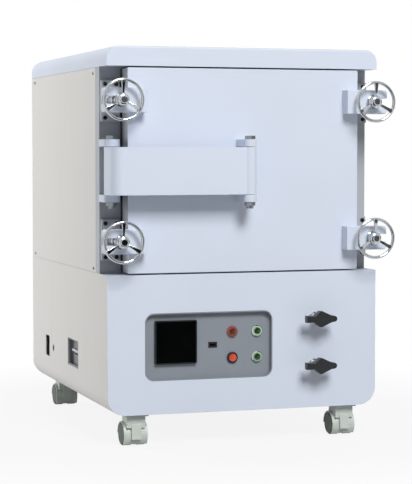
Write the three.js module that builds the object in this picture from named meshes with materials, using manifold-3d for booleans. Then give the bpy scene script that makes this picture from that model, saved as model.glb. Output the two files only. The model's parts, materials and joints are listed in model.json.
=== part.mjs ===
// Vacuum muffle furnace: a floor-standing cabinet on four twin-wheel casters. A vacuum-tight door
// hangs on a swing arm in front of the heated chamber and is drawn onto its seal by four clamp
// screws with handwheels. The controls and two gas valves sit in the lower storey.
//
// Millimetres, +Z up, the door faces -Y. Inside this file x is measured from the middle of the
// cabinet, y from the plane of its lower front panel towards the rear, and z from the floor. The
// finished group is moved along y so that its origin lies on the floor under its middle.

import * as THREE from 'three';
import { mergeVertices } from 'three/addons/utils/BufferGeometryUtils.js';
import Module from 'manifold-3d';

const wasm = await Module();
wasm.setup();

// Clearances shared by all pieces
const fit = 0.3; // gap between neighbouring pieces
const overrun = 6; // how far a cut runs past the piece it cuts

// Cabinet
const bodyWidth = 630;
const bodyDepth = 750;
const casterHeight = 72;
const lowerHeight = 307;
const upperHeight = 454;
const coverHeight = 43;
const sheet = 2;
const footRadius = 40; // lower corners of the cabinet
const coverRadius = 28; // upper corners of the top cover
const coverNose = 4; // front upper edge of the top cover
const side = bodyWidth / 2;
const bodyFloor = casterHeight;
const deck = bodyFloor + lowerHeight;
const coverSeat = deck + upperHeight;
const coverTop = coverSeat + coverHeight;
const chamberMiddle = (deck + coverSeat) / 2;

// Front flange of the vacuum chamber, set back behind the door
const flangeSetback = 67;
const flangeThickness = 12;
const flangeReturn = 34;
const returnWall = 3;
const flangeBack = flangeSetback + flangeThickness;
const mouthMargin = { side: 150, level: 92 }; // from the edges of the upper storey
const mouthWidth = bodyWidth - 2 * mouthMargin.side;
const mouthHeight = upperHeight - 2 * mouthMargin.level;
const mouthRadius = 6;

// Door
const doorGap = 3.5; // above and below the door
const doorMargin = 46.5; // from each side of the cabinet
const doorWidth = bodyWidth - 2 * doorMargin;
const doorThickness = 60;
const doorSheet = 3;
const doorPlateThickness = 12;
const doorRadius = 4;
const doorHalf = doorWidth / 2;
const doorLow = deck + doorGap;
const doorHigh = coverSeat - doorGap;

// Clamp screws: one at each corner of the door, with its lug, keeper and handwheel
const clampInset = { side: 23, level: 74.5 }; // from the edges of the upper storey
const clampX = side - clampInset.side;
const clampZ = upperHeight / 2 - clampInset.level;
const clampPlaces = [
  { tag: 'upper_left', x: -clampX, z: chamberMiddle + clampZ },
  { tag: 'upper_right', x: clampX, z: chamberMiddle + clampZ },
  { tag: 'lower_left', x: -clampX, z: chamberMiddle - clampZ },
  { tag: 'lower_right', x: clampX, z: chamberMiddle - clampZ },
];

// Swing arm and its two pivots
const boltRadius = 8;
const armShare = 0.227; // of the upper storey
const armHeight = Math.round(armShare * upperHeight);
const armFront = -60;
const armBeam = 32;
const armLow = chamberMiddle - armHeight / 2;
const armHigh = chamberMiddle + armHeight / 2;
const armPivotInset = 17;
const armPivot = { x: armPivotInset - side, y: 27 };
const doorPivot = { x: -6, y: -50.5 };

// The furnace, and the group that its pieces are added to
const furnace = new THREE.Group();

// Closed three.js geometry as a solid that can be joined and cut
function solid(geometry) {
  geometry.deleteAttribute('normal');
  geometry.deleteAttribute('uv');
  const merged = mergeVertices(geometry);
  const corners = merged.index.array;
  const triangles = [];
  for (let i = 0; i < corners.length; i += 3) {
    const [a, b, c] = [corners[i], corners[i + 1], corners[i + 2]];
    if (a !== b && b !== c && c !== a) triangles.push(a, b, c);
  }
  return new wasm.Manifold(new wasm.Mesh({
    numProp: 3,
    vertProperties: new Float32Array(merged.attributes.position.array),
    triVerts: new Uint32Array(triangles),
  }));
}

// Names a finished solid, gives it its own material and adds it to the furnace
function piece(name, body, finish, place = { x: 0, y: 0, z: 0 }) {
  const cut = body.getMesh();
  const geometry = new THREE.BufferGeometry();
  geometry.setAttribute('position', new THREE.BufferAttribute(cut.vertProperties, 3));
  geometry.setIndex(new THREE.BufferAttribute(cut.triVerts, 1));
  geometry.computeVertexNormals();
  const [color, roughness, metalness] = finish;
  const material = new THREE.MeshStandardMaterial({ color, roughness, metalness });
  const mesh = new THREE.Mesh(geometry, material);
  mesh.name = name;
  mesh.position.set(place.x, place.y, place.z);
  furnace.add(mesh);
}

// Finishes as colour, roughness and metalness
const paint = [0xe1e6ec, 0.45, 0];
const warmPaint = [0xdcdad4, 0.5, 0];
const greyPaint = [0x8b9098, 0.55, 0];
const flangePaint = [0xb9bfc4, 0.45, 0.1];
const steel = [0xb4b8bb, 0.35, 1];
const chrome = [0xe6e8ea, 0.12, 1];
const blackSteel = [0x24262a, 0.45, 0.6];
const blackPlastic = [0x17191b, 0.4, 0];
const rubber = [0x2a2b2d, 0.8, 0];
const fibre = [0xf0eee6, 0.95, 0];
const ceramic = [0xe6ddcb, 0.7, 0];
const element = [0x6f6a66, 0.6, 0.5];
const casterPlastic = [0xc3cbc2, 0.5, 0];

// Block between two opposite corners
function block(x0, x1, y0, y1, z0, z1) {
  const box = new THREE.BoxGeometry(x1 - x0, y1 - y0, z1 - z0);
  return solid(box.translate((x0 + x1) / 2, (y0 + y1) / 2, (z0 + z1) / 2));
}

// Shape extruded along one axis. Along x it is drawn in (y, z), along y in (x, z), along z in (x, y)
const alongX = new THREE.Matrix4().makeBasis(
  new THREE.Vector3(0, 1, 0), new THREE.Vector3(0, 0, 1), new THREE.Vector3(1, 0, 0));
function extrude(shape, axis, from, to, curveSegments = 6) {
  const options = { depth: to - from, bevelEnabled: false, curveSegments };
  const geometry = new THREE.ExtrudeGeometry(shape, options);
  if (axis === 'x') geometry.applyMatrix4(alongX).translate(from, 0, 0);
  if (axis === 'y') geometry.rotateX(Math.PI / 2).translate(0, to, 0);
  if (axis === 'z') geometry.translate(0, 0, from);
  return solid(geometry);
}

// Profile of [radius, place along the axis] pairs turned about an axis through the origin
function turned(profile, axis, sides = 20) {
  const points = profile.map(([radius, along]) => new THREE.Vector2(radius, along));
  const geometry = new THREE.LatheGeometry(points, sides);
  if (axis === 'x') geometry.rotateZ(-Math.PI / 2);
  if (axis === 'z') geometry.rotateX(Math.PI / 2);
  return solid(geometry);
}

function rod(radius, axis, from, to, sides = 12) {
  return turned([[0, from], [radius, from], [radius, to], [0, to]], axis, sides);
}

// Rectangle with its own radius at each corner: lower left, lower right, upper right, upper left
function rounded(left, right, low, high, radii) {
  const [a, b, c, d] = radii;
  const quarter = Math.PI / 2;
  const shape = new THREE.Shape();
  shape.moveTo(left + a, low);
  shape.lineTo(right - b, low);
  if (b > 0) shape.absarc(right - b, low + b, b, -quarter, 0);
  shape.lineTo(right, high - c);
  if (c > 0) shape.absarc(right - c, high - c, c, 0, quarter);
  shape.lineTo(left + d, high);
  if (d > 0) shape.absarc(left + d, high - d, d, quarter, 2 * quarter);
  shape.lineTo(left, low + a);
  if (a > 0) shape.absarc(left + a, low + a, a, 2 * quarter, 3 * quarter);
  return shape;
}

function evenRadii(radius) {
  return [radius, radius, radius, radius];
}

// Solid whose front view and side view both have rounded corners
function casing(inset, front, rear, low, high, frontRadii, sideRadii) {
  const inner = (radius) => Math.max(radius - inset, 0);
  const edge = side - inset;
  const frontView = rounded(-edge, edge, low, high, frontRadii.map(inner));
  const sideView = rounded(front, rear, low, high, sideRadii.map(inner));
  return extrude(frontView, 'y', front, rear).intersect(extrude(sideView, 'x', -edge, edge));
}

function joined(bodies) {
  return bodies.reduce((whole, body) => whole.add(body));
}

// Casters: places, and the sizes that the cabinet's mounting plates share with the wheels
const caster = { plate: 52, plateThickness: 4, kingpin: 6, kingpinReach: 10,
  trail: 12, wheel: 25, wheelWidth: 19.5, web: 12, wall: 2.5, play: 1.5, axle: 4, boss: 15 };
const casterInset = { x: 69, front: 36, rear: 66 };
const casterPlaces = [
  { tag: 'front_left', x: -side + casterInset.x, y: casterInset.front },
  { tag: 'front_right', x: side - casterInset.x, y: casterInset.front },
  { tag: 'rear_left', x: -side + casterInset.x, y: bodyDepth - casterInset.rear },
  { tag: 'rear_right', x: side - casterInset.x, y: bodyDepth - casterInset.rear },
];
const plateLow = casterHeight - caster.plateThickness;
const hoodHigh = plateLow - fit;
const kingpinLow = hoodHigh - caster.kingpinReach;
const topPlate = block(-caster.plate / 2, caster.plate / 2, -caster.plate / 2, caster.plate / 2,
  plateLow, casterHeight + sheet / 2)
  .add(rod(caster.kingpin, 'z', kingpinLow, casterHeight));
const casterMounts = joined(casterPlaces.map(({ x, y }) => topPlate.translate([x, y, 0])));

// The hood keeps a constant gap to the wheels and comes down low over their front. A web between
// them carries the axle, and a broad neck joins the hood to the swivel
const halfPair = caster.web / 2 + caster.play + caster.wheelWidth;
const wheelRoom = caster.wheel + caster.play;
const hoodRadius = wheelRoom + caster.wall;
const hoodLip = Math.PI / 4; // below the level of the axle, at the front
const neck = { half: 21, front: 19, rear: 21, low: 42, flare: 4 };
const pedal = { half: 11, top: 50, low: 17, front: 36, back: 27, lean: 3 };
const hoodArc = new THREE.Shape();
hoodArc.absarc(caster.trail, caster.wheel, hoodRadius, 0, Math.PI + hoodLip);
const neckShape = new THREE.Shape();
neckShape.moveTo(-neck.front, hoodHigh);
neckShape.lineTo(neck.rear, hoodHigh);
neckShape.lineTo(neck.rear + neck.flare, neck.low);
neckShape.lineTo(-neck.front, neck.low);
const pedalShape = new THREE.Shape();
pedalShape.moveTo(caster.trail - pedal.back, pedal.top);
pedalShape.lineTo(caster.trail - pedal.front + pedal.lean, pedal.top);
pedalShape.lineTo(caster.trail - pedal.front, pedal.low);
pedalShape.lineTo(caster.trail - pedal.back, pedal.low);

function atAxle(body) {
  return body.translate([0, caster.trail, caster.wheel]);
}

const rightRoom = atAxle(rod(wheelRoom, 'x', caster.web / 2, halfPair + overrun, 16));
const casterFork = joined([
  extrude(hoodArc, 'x', -halfPair, halfPair, 8),
  extrude(neckShape, 'x', -neck.half, neck.half),
  block(-caster.web / 2, caster.web / 2, -caster.boss, caster.trail + caster.wheel / 2,
    caster.wheel / 2, hoodHigh),
  extrude(pedalShape, 'x', -pedal.half, pedal.half),
])
  .subtract(rightRoom.add(rightRoom.mirror([1, 0, 0])))
  .subtract(atAxle(rod(caster.axle + fit, 'x', -halfPair, halfPair, 10)))
  .subtract(rod(caster.kingpin + fit, 'z', kingpinLow - fit, hoodHigh + overrun));
const treadChamfer = 3;
const wheelFace = caster.web / 2 + caster.play;
const rimFace = caster.wheel - treadChamfer;
const twinWheels = atAxle(turned([[0, -halfPair], [rimFace, -halfPair],
  [caster.wheel, -halfPair + treadChamfer], [caster.wheel, -wheelFace], [caster.axle, -wheelFace],
  [caster.axle, wheelFace], [caster.wheel, wheelFace],
  [caster.wheel, halfPair - treadChamfer], [rimFace, halfPair], [0, halfPair]], 'x', 16));

// Lower storey: a shell that is open at the front and at the top
const panelBack = sheet + fit;
const baseFront = [footRadius, footRadius, 0, 0];
const baseSide = [0, footRadius, 0, 0];
const breakerWindow = { front: 267, rear: 370, low: 144, high: 209, radius: 3 };
const ventRows = 4;
const ventColumns = 2;
const ventLength = 110;
const ventHeight = 7;
const ventPitch = 18;
const ventSpread = 150; // from the middle of the cabinet to the middle of a column
const cableSlot = { front: 562, rear: 602, low: 141, high: 192, radius: 4 };
const cableHole = { y: 520, z: 167, radius: 8.5 };

function ventSlots(middle) {
  const slots = [];
  for (let column = 0; column < ventColumns; column += 1) {
    const x = (column * 2 - 1) * ventSpread;
    for (let row = 0; row < ventRows; row += 1) {
      const z = middle + (row - (ventRows - 1) / 2) * ventPitch;
      const shape = rounded(x - ventLength / 2, x + ventLength / 2,
        z - ventHeight / 2, z + ventHeight / 2, evenRadii(ventHeight / 2));
      slots.push(extrude(shape, 'y', bodyDepth - sheet - overrun, bodyDepth + overrun, 1));
    }
  }
  return joined(slots);
}

function leftCut(hole) {
  const shape = rounded(hole.front, hole.rear, hole.low, hole.high, evenRadii(hole.radius));
  return extrude(shape, 'x', -side - overrun, -side + sheet + overrun, 3);
}

const baseInside = casing(sheet, panelBack - overrun, bodyDepth - sheet, bodyFloor + sheet,
  deck + overrun, baseFront, baseSide);
const hole = rod(cableHole.radius, 'x', -side - overrun, -side + sheet + overrun)
  .translate([0, cableHole.y, cableHole.z]);
const baseShell = casing(0, panelBack, bodyDepth, bodyFloor, deck, baseFront, baseSide)
  .subtract(baseInside)
  .subtract(leftCut(breakerWindow))
  .subtract(leftCut(cableSlot))
  .subtract(hole)
  .subtract(ventSlots((bodyFloor + deck) / 2))
  .add(casterMounts);
piece('base_cabinet', baseShell, warmPaint);

// Deck between the storeys, which closes the lower one
const deckThickness = 4;
const deckEdge = side - sheet - fit;
piece('deck_plate', block(-deckEdge, deckEdge, panelBack, bodyDepth - sheet - fit,
  deck - deckThickness, deck), paint);

// Front panel of the lower storey with its cut-outs for the control tray and the two valves
const tray = { left: -230, right: 65, low: 146, high: 294, radius: 20, depth: 15, wall: 2 };
const valveX = 165;
const valveHigh = 275;
const valveLow = 170;
const valveNeck = 9;
const panelLip = 16; // folded edge behind the front panel
const valvePlaces = [{ tag: 'upper', z: valveHigh }, { tag: 'lower', z: valveLow }];

function trayShape(grow) {
  return rounded(tray.left - grow, tray.right + grow, tray.low - grow, tray.high + grow,
    evenRadii(tray.radius + grow));
}

const neckHoles = joined(valvePlaces.map(({ z }) => (
  rod(valveNeck + fit, 'y', -overrun, sheet + overrun).translate([valveX, 0, z]))));
const panelShape = rounded(-side, side, bodyFloor, deck, baseFront);
const lipEdge = side - sheet - fit;
const lipRadii = baseFront.map((radius) => Math.max(radius - sheet - fit, 0));
const lipLow = bodyFloor + sheet + fit;
const lipHigh = deck - deckThickness - fit;
const lipOuter = extrude(rounded(-lipEdge, lipEdge, lipLow, lipHigh, lipRadii),
  'y', sheet / 2, panelLip);
const lipInner = extrude(rounded(-lipEdge + sheet, lipEdge - sheet, lipLow + sheet,
  lipHigh - sheet, lipRadii.map((radius) => Math.max(radius - sheet, 0))),
'y', -overrun, panelLip + overrun);
const frontPanel = extrude(panelShape, 'y', 0, sheet)
  .add(lipOuter.subtract(lipInner))
  .subtract(extrude(trayShape(fit), 'y', -overrun, sheet + overrun))
  .subtract(neckHoles);
piece('front_panel', frontPanel, paint);

// Control tray, let into the front panel, with the cut-outs of its instruments
const meter = { size: 96, x: -157.85, z: 229, bezel: 8, body: 90, depth: 70, radius: 3 };
const socket = { x: -71, z: 220, width: 20, height: 12, slotWidth: 13, slotHeight: 5,
  rim: 1.5, depth: 18, slotDepth: 13 };
const buttonPitch = 58;
const buttonX = 3.35; // middle of the group of four
const buttonZ = 219.25;
const bezelRadius = 12.8;
const barrelRadius = 10.7;
const trayFloor = tray.depth - tray.wall;
const buttonPlaces = [
  { tag: 'stop', x: -1, z: 1, colour: 0xb0453c },
  { tag: 'power', x: 1, z: 1, colour: 0x3c9c56 },
  { tag: 'heat', x: -1, z: -1, colour: 0xe0522f },
  { tag: 'vacuum', x: 1, z: -1, colour: 0x4aa862 },
].map(({ tag, x, z, colour }) => ({
  tag, colour, x: buttonX + x * buttonPitch / 2, z: buttonZ + z * buttonPitch / 2 }));

function through(x, z, halfX, halfZ) {
  return block(x - halfX, x + halfX, trayFloor - overrun, tray.depth + overrun,
    z - halfZ, z + halfZ);
}

const trayPocket = extrude(trayShape(-tray.wall), 'y', -overrun, trayFloor);
const bezelHeight = 5;
const bezelCrown = 1.6;
const capRadius = 8.6;
const capProud = 2.5; // above the bezel, and also the travel
const capDepth = 12; // behind the tray floor
const capCrown = 1;
const barrelDepth = 36;
const bezelFace = trayFloor - bezelHeight;
const bezel = turned([[0, bezelFace], [bezelRadius - bezelCrown, bezelFace],
  [bezelRadius, bezelFace + bezelCrown], [bezelRadius, trayFloor + tray.wall / 2],
  [barrelRadius, trayFloor + tray.wall / 2], [barrelRadius, trayFloor + barrelDepth],
  [0, trayFloor + barrelDepth]], 'y', 12);
const bezelBore = rod(capRadius + fit, 'y', bezelFace - overrun,
  trayFloor + capDepth + capProud + fit, 14);

function atButtons(body) {
  return joined(buttonPlaces.map(({ x, z }) => body.translate([x, 0, z])));
}

const controlPanel = extrude(trayShape(0), 'y', 0, tray.depth)
  .subtract(trayPocket)
  .subtract(through(meter.x, meter.z, meter.body / 2 + fit, meter.body / 2 + fit))
  .subtract(through(socket.x, socket.z, socket.width / 2 + fit, socket.height / 2 + fit))
  .add(atButtons(bezel))
  .subtract(atButtons(bezelBore));
piece('control_panel', controlPanel, greyPaint);

// Push button caps, which travel in the bores of their bezels
const capFace = bezelFace - capProud;
const capBack = trayFloor + capDepth;
for (const { tag, x, z, colour } of buttonPlaces) {
  const cap = turned([[0, capFace], [capRadius - capCrown, capFace],
    [capRadius, capFace + capCrown], [capRadius, capBack], [0, capBack]], 'y', 12);
  piece(`${tag}_button`, cap, [colour, 0.35, 0], { x, y: 0, z });
}

// Panel instrument: a square bezel in front of the tray and its case behind it
const meterFront = trayFloor - fit;
const meterBezel = rounded(-meter.size / 2, meter.size / 2, -meter.size / 2, meter.size / 2,
  evenRadii(meter.radius));
const controller = extrude(meterBezel, 'y', meterFront - meter.bezel, meterFront, 2)
  .add(block(-meter.body / 2, meter.body / 2, meterFront - meter.bezel / 2,
    tray.depth + meter.depth, -meter.body / 2, meter.body / 2));
piece('controller', controller, [0x0a0b0c, 0.15, 0], { x: meter.x, y: 0, z: meter.z });

// Data socket with its open slot
const socketShell = block(-socket.width / 2, socket.width / 2, trayFloor - socket.rim,
  trayFloor + socket.depth, -socket.height / 2, socket.height / 2)
  .subtract(block(-socket.slotWidth / 2, socket.slotWidth / 2, trayFloor - socket.rim - overrun,
    trayFloor + socket.slotDepth, -socket.slotHeight / 2, socket.slotHeight / 2));
piece('usb_socket', socketShell, blackPlastic, { x: socket.x, y: 0, z: socket.z });

// Gas valves on a common pipe behind the front panel, each with a neck through it, and their
// pointer handles
const valveNut = { radius: 13, thickness: 4 };
const valveStem = 4;
const valveStemFront = -26;
const valveNeckFront = -12;
const valveBlock = { width: 30, height: 34, from: 8, depth: 40, pipe: 7 };
const valveBodies = joined(valvePlaces.map(({ z }) => joined([
  rod(valveNeck, 'y', valveNeckFront, valveBlock.from + overrun),
  rod(valveNut.radius, 'y', -fit - valveNut.thickness, -fit, 6),
  rod(valveNut.radius, 'y', sheet + fit, sheet + fit + valveNut.thickness, 6),
  rod(valveStem, 'y', valveStemFront, valveNeckFront + overrun, 12),
  block(-valveBlock.width / 2, valveBlock.width / 2, valveBlock.from,
    valveBlock.from + valveBlock.depth, -valveBlock.height / 2, valveBlock.height / 2),
])
  .translate([valveX, 0, z])));
const gasPipe = rod(valveBlock.pipe, 'z', valveLow, valveHigh, 12)
  .translate([valveX, valveBlock.from + valveBlock.depth / 2, 0]);
piece('gas_valves', valveBodies.add(gasPipe), steel);

// Pointer handle: a lozenge boss with a stout tail and a longer, rounded tip
const handle = { tail: 34, tailHalf: 8, waist: 16, waistHalf: 6.5, peak: 18, peakHalf: 2,
  shoulder: 25, shoulderHalf: 7.5, tip: 38, front: -47, rear: -30, collar: 9, collarRear: -15 };
const upperEdge = [[-handle.tail, handle.tailHalf], [-handle.waist, handle.waistHalf],
  [-handle.peakHalf, handle.peak], [handle.peakHalf, handle.peak],
  [handle.shoulder, handle.shoulderHalf]];
const wing = new THREE.Shape();
wing.moveTo(...upperEdge[0]);
for (const corner of upperEdge.slice(1)) wing.lineTo(...corner);
wing.quadraticCurveTo(handle.tip, handle.shoulderHalf, handle.tip, 0);
wing.quadraticCurveTo(handle.tip, -handle.shoulderHalf, handle.shoulder, -handle.shoulderHalf);
for (const [x, z] of upperEdge.slice(0, -1).reverse()) wing.lineTo(x, -z);
const valveHandle = extrude(wing, 'y', handle.front, handle.rear, 4)
  .add(rod(handle.collar, 'y', handle.rear - overrun, handle.collarRear, 12))
  .subtract(rod(valveStem + fit, 'y', valveStemFront - fit, handle.collarRear + overrun, 10));
for (const { tag, z } of valvePlaces) {
  piece(`${tag}_valve_handle`, valveHandle, blackPlastic, { x: valveX, y: 0, z });
}

// Circuit breaker in its window in the left side, and its switch lever
const breaker = { width: 72, height: 46, depth: 62, proud: 10, cover: 8, rim: 4, fold: 2 };
const breakerY = (breakerWindow.front + breakerWindow.rear) / 2;
const breakerZ = (breakerWindow.low + breakerWindow.high) / 2;
const breakerFace = -side + sheet + breaker.proud;
const leverTilt = 25; // degrees above the level, switched on
const lever = { width: 58, radius: 5, reach: 13, half: 2.5, slotHalf: 7 };
const leverBody = rod(lever.radius, 'y', -lever.width / 2, lever.width / 2, 12)
  .add(block(-lever.reach, 0, -lever.width / 2, lever.width / 2, -lever.half, lever.half))
  .rotate([0, leverTilt, 0]);
const leverX = breakerFace + lever.radius;
const breakerPlate = block(-side + sheet + fit, -side + sheet + fit + breaker.fold,
  breakerWindow.front - breaker.cover, breakerWindow.rear + breaker.cover,
  breakerWindow.low - breaker.cover, breakerWindow.high + breaker.cover)
  .subtract(block(-side, -side + sheet + fit + breaker.fold + overrun,
    breakerWindow.front + breaker.rim, breakerWindow.rear - breaker.rim,
    breakerWindow.low + breaker.rim, breakerWindow.high - breaker.rim))
  .add(block(breakerFace, breakerFace + breaker.depth,
    breakerY - breaker.width / 2, breakerY + breaker.width / 2,
    breakerZ - breaker.height / 2, breakerZ + breaker.height / 2));
const breakerWing = block(-side + sheet + fit, breakerFace + breaker.fold,
  breakerWindow.front - breaker.cover, breakerWindow.rear + breaker.cover,
  breakerWindow.low - breaker.cover, breakerWindow.high + breaker.cover)
  .subtract(block(-side, breakerFace, breakerWindow.front, breakerWindow.rear,
    breakerWindow.low, breakerWindow.high));
const leverPocket = block(breakerFace - overrun, leverX + lever.radius + fit,
  breakerY - lever.width / 2 - fit, breakerY + lever.width / 2 + fit,
  breakerZ - lever.slotHalf, breakerZ + lever.slotHalf);
piece('circuit_breaker', breakerPlate.add(breakerWing).subtract(leverPocket), greyPaint);
piece('breaker_lever', leverBody, blackPlastic, { x: leverX, y: breakerY, z: breakerZ });

// Mains transformer on the floor of the lower storey
const core = { width: 180, depth: 110, height: 150, coilGrow: 22, coilHeight: 90, foot: 12,
  x: 90, y: 430 };
const coreLow = bodyFloor + sheet + fit;
const transformer = joined([
  block(-core.width / 2, core.width / 2, -core.depth / 2, core.depth / 2,
    coreLow + core.foot, coreLow + core.foot + core.height),
  block(-core.width / 4, core.width / 4, -core.depth / 2 - core.coilGrow,
    core.depth / 2 + core.coilGrow, coreLow + core.foot + (core.height - core.coilHeight) / 2,
    coreLow + core.foot + (core.height + core.coilHeight) / 2),
  block(-core.width / 2, -core.width / 2 + core.foot, -core.depth / 2, core.depth / 2,
    coreLow, coreLow + core.foot + overrun),
  block(core.width / 2 - core.foot, core.width / 2, -core.depth / 2, core.depth / 2,
    coreLow, coreLow + core.foot + overrun),
]);
piece('transformer', transformer, blackSteel, { x: core.x, y: core.y, z: 0 });

// Frame of square tube that carries the covers of the upper storey
const tube = 25;
const coverLip = 12; // folded edge behind the side covers
const rearFold = 5; // how far the rear cover wraps round the sides
const frameEdge = side - sheet - coverLip - fit;
const frameFront = flangeBack + fit;
const frameRear = bodyDepth - rearFold - fit;
const frameLow = deck + fit;
const uprights = [-frameEdge, frameEdge - tube].flatMap((x) => (
  [frameFront, frameRear - tube].map((y) => block(x, x + tube, y, y + tube, frameLow, coverSeat))));
const rails = [frameLow, coverSeat - tube].flatMap((z) => [
  block(-frameEdge, -frameEdge + tube, frameFront, frameRear, z, z + tube),
  block(frameEdge - tube, frameEdge, frameFront, frameRear, z, z + tube),
  block(-frameEdge, frameEdge, frameRear - tube, frameRear, z, z + tube),
]);
piece('chassis_frame', joined([...uprights, ...rails]), greyPaint);

// Side covers: shallow pans between the front flange and the rear cover
const coverFront = flangeSetback + flangeReturn + fit;
const coverRear = bodyDepth - rearFold - fit;
const coverLow = deck + fit;
const coverHigh = coverSeat - fit;
const pan = block(-side, -side + sheet + coverLip, coverFront, coverRear, coverLow, coverHigh)
  .subtract(block(-side + sheet, -side + sheet + coverLip + overrun, coverFront + sheet,
    coverRear - sheet, coverLow + sheet, coverHigh - sheet));
piece('side_cover_left', pan, warmPaint);
piece('side_cover_right', pan.mirror([1, 0, 0]), warmPaint);

// Rear cover with its vents and the passage of the vacuum port
const portInset = 205; // from the side of the cabinet
const port = { x: side - portInset, z: chamberMiddle + 70, bore: 12, radius: 14, flange: 20,
  flangeDepth: 4, reach: 38 };
const portClearance = 2;
const rearHole = port.radius + portClearance;
const rearCover = block(-side, side, bodyDepth - rearFold, bodyDepth, coverLow, coverHigh)
  .subtract(block(-side + sheet, side - sheet, bodyDepth - rearFold - overrun, bodyDepth - sheet,
    coverLow + sheet, coverHigh - sheet))
  .subtract(rod(rearHole, 'y', bodyDepth - rearFold, bodyDepth + overrun).translate([port.x, 0, port.z]))
  .subtract(ventSlots(deck + (coverSeat - deck) / 4));
piece('rear_cover', rearCover, warmPaint);

// Top cover: a hood with rounded upper corners whose front overhang is closed from below
const coverFrontView = [0, 0, coverRadius, coverRadius];
const coverSideView = [0, 0, coverRadius, coverNose];
const hoodPocket = casing(sheet, sheet, bodyDepth - sheet, coverSeat + sheet, coverTop - sheet,
  coverFrontView, coverSideView);
const hoodMouth = block(-side + sheet, side - sheet, flangeBack, bodyDepth - sheet,
  coverSeat - overrun, coverSeat + sheet + fit);
const topCover = casing(0, 0, bodyDepth, coverSeat, coverTop, coverFrontView, coverSideView)
  .subtract(hoodPocket).subtract(hoodMouth);
piece('top_cover', topCover, paint);

// Front flange: the machined face that the door seals against, with its two side returns
const flangeLow = deck + fit;
const flangeHigh = coverSeat - fit;
const mouthShape = rounded(-mouthWidth / 2, mouthWidth / 2, chamberMiddle - mouthHeight / 2,
  chamberMiddle + mouthHeight / 2, evenRadii(mouthRadius));
const flangeReturns = [-side, side - returnWall].map((x) => (
  block(x, x + returnWall, flangeSetback, flangeSetback + flangeReturn, flangeLow, flangeHigh)));
const frontFlange = block(-side, side, flangeSetback, flangeBack, flangeLow, flangeHigh)
  .add(joined(flangeReturns))
  .subtract(extrude(mouthShape, 'y', flangeSetback - overrun, flangeBack + overrun));
piece('front_flange', frontFlange, flangePaint);

// Vacuum chamber behind the flange: a ribbed steel box that is open to the door
const chamberRoom = { side: 79, level: 31, rear: 110 }; // from the cabinet's covers
const chamber = { halfWidth: side - chamberRoom.side, halfHeight: upperHeight / 2 - chamberRoom.level,
  wall: 6, rib: 14, ribWidth: 10 };
const chamberFront = flangeBack + fit;
const chamberRear = bodyDepth - chamberRoom.rear;
const ribShares = [0.3, 0.65];

function chamberBox(grow, from, to) {
  return block(-chamber.halfWidth - grow, chamber.halfWidth + grow, from, to,
    chamberMiddle - chamber.halfHeight - grow, chamberMiddle + chamber.halfHeight + grow);
}

const ribs = ribShares.map((share) => {
  const at = chamberFront + share * (chamberRear - chamberFront);
  return chamberBox(chamber.rib, at, at + chamber.ribWidth);
});

// Ceramic fibre muffle inside it, and the wider mouth lining in front of it for the door plug
const lagging = { side: 86, level: 76, rear: 130 }; // from the cavity to the chamber's outside
const cavity = { halfWidth: chamber.halfWidth - lagging.side,
  halfHeight: chamber.halfHeight - lagging.level };
const plugDepth = 44;
const mouthStep = 6; // room behind the tip of the plug
const stepBack = doorThickness + plugDepth + mouthStep;
const cavityBack = chamberRear - lagging.rear;
const mouthLining = chamberBox(-chamber.wall - fit, chamberFront, stepBack - fit)
  .subtract(extrude(mouthShape, 'y', chamberFront - overrun, stepBack + overrun));
piece('mouth_lining', mouthLining, fibre);
const lining = chamberBox(-chamber.wall - fit, stepBack, chamberRear - chamber.wall - fit);
const cavityBlock = block(-cavity.halfWidth, cavity.halfWidth, stepBack - overrun, cavityBack,
  chamberMiddle - cavity.halfHeight, chamberMiddle + cavity.halfHeight);

// A route of chosen points that a section can follow, one step to each point
class Route extends THREE.Curve {
  constructor(points) {
    super();
    this.points = points;
  }

  getPointAt(share) {
    return this.points[Math.round(share * (this.points.length - 1))].clone();
  }

  getTangentAt(share) {
    const last = this.points.length - 1;
    const here = Math.round(share * last);
    const next = this.points[Math.min(here + 1, last)];
    return next.clone().sub(this.points[Math.max(here - 1, 0)]).normalize();
  }
}

function swept(points, radius, sides) {
  const section = new THREE.Shape();
  for (let i = 0; i < sides; i += 1) {
    const angle = (i / sides) * 2 * Math.PI;
    const corner = [radius * Math.cos(angle), radius * Math.sin(angle)];
    if (i === 0) section.moveTo(...corner);
    else section.lineTo(...corner);
  }
  const options = { steps: points.length - 1, extrudePath: new Route(points), curveSegments: 1 };
  return solid(new THREE.ExtrudeGeometry(section, options));
}

// Heating elements: a hairpin wire in a slot in each side wall, led out at the rear, where a link
// joins the two in series
const wire = { radius: 3, runs: 6, heightShare: 0.85, bendSteps: 3 };
const wirePitch = 2 * cavity.halfHeight * wire.heightShare / wire.runs;
const wireInset = 5; // from the face of the side wall to the middle of the wire
const slotDepth = 2 * wireInset;
const wireX = cavity.halfWidth + wireInset;
const wireFront = stepBack + wirePitch;
const wireRear = cavityBack - wirePitch;
const leadHole = wire.radius + fit;
const leadReach = 26; // past the rear of the chamber
const wireEnds = [-1, 1].map((end) => chamberMiddle + end * (wire.runs - 1) * wirePitch / 2);

function hairpin() {
  const points = [new THREE.Vector3(wireX, chamberRear + leadReach, wireEnds[0])];
  for (let run = 0; run < wire.runs; run += 1) {
    const z = wireEnds[0] + run * wirePitch;
    const forward = run % 2 === 0;
    if (run < wire.runs - 1) {
      const y = forward ? wireFront : wireRear;
      for (let step = 0; step <= wire.bendSteps; step += 1) {
        const angle = (step / wire.bendSteps) * Math.PI;
        const out = Math.sin(angle) * wirePitch / 2 * (forward ? -1 : 1);
        points.push(new THREE.Vector3(wireX, y + out, z + (1 - Math.cos(angle)) * wirePitch / 2));
      }
    }
  }
  points.push(new THREE.Vector3(wireX, chamberRear + leadReach, wireEnds[1]));
  return swept(points, wire.radius, 5);
}

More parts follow.
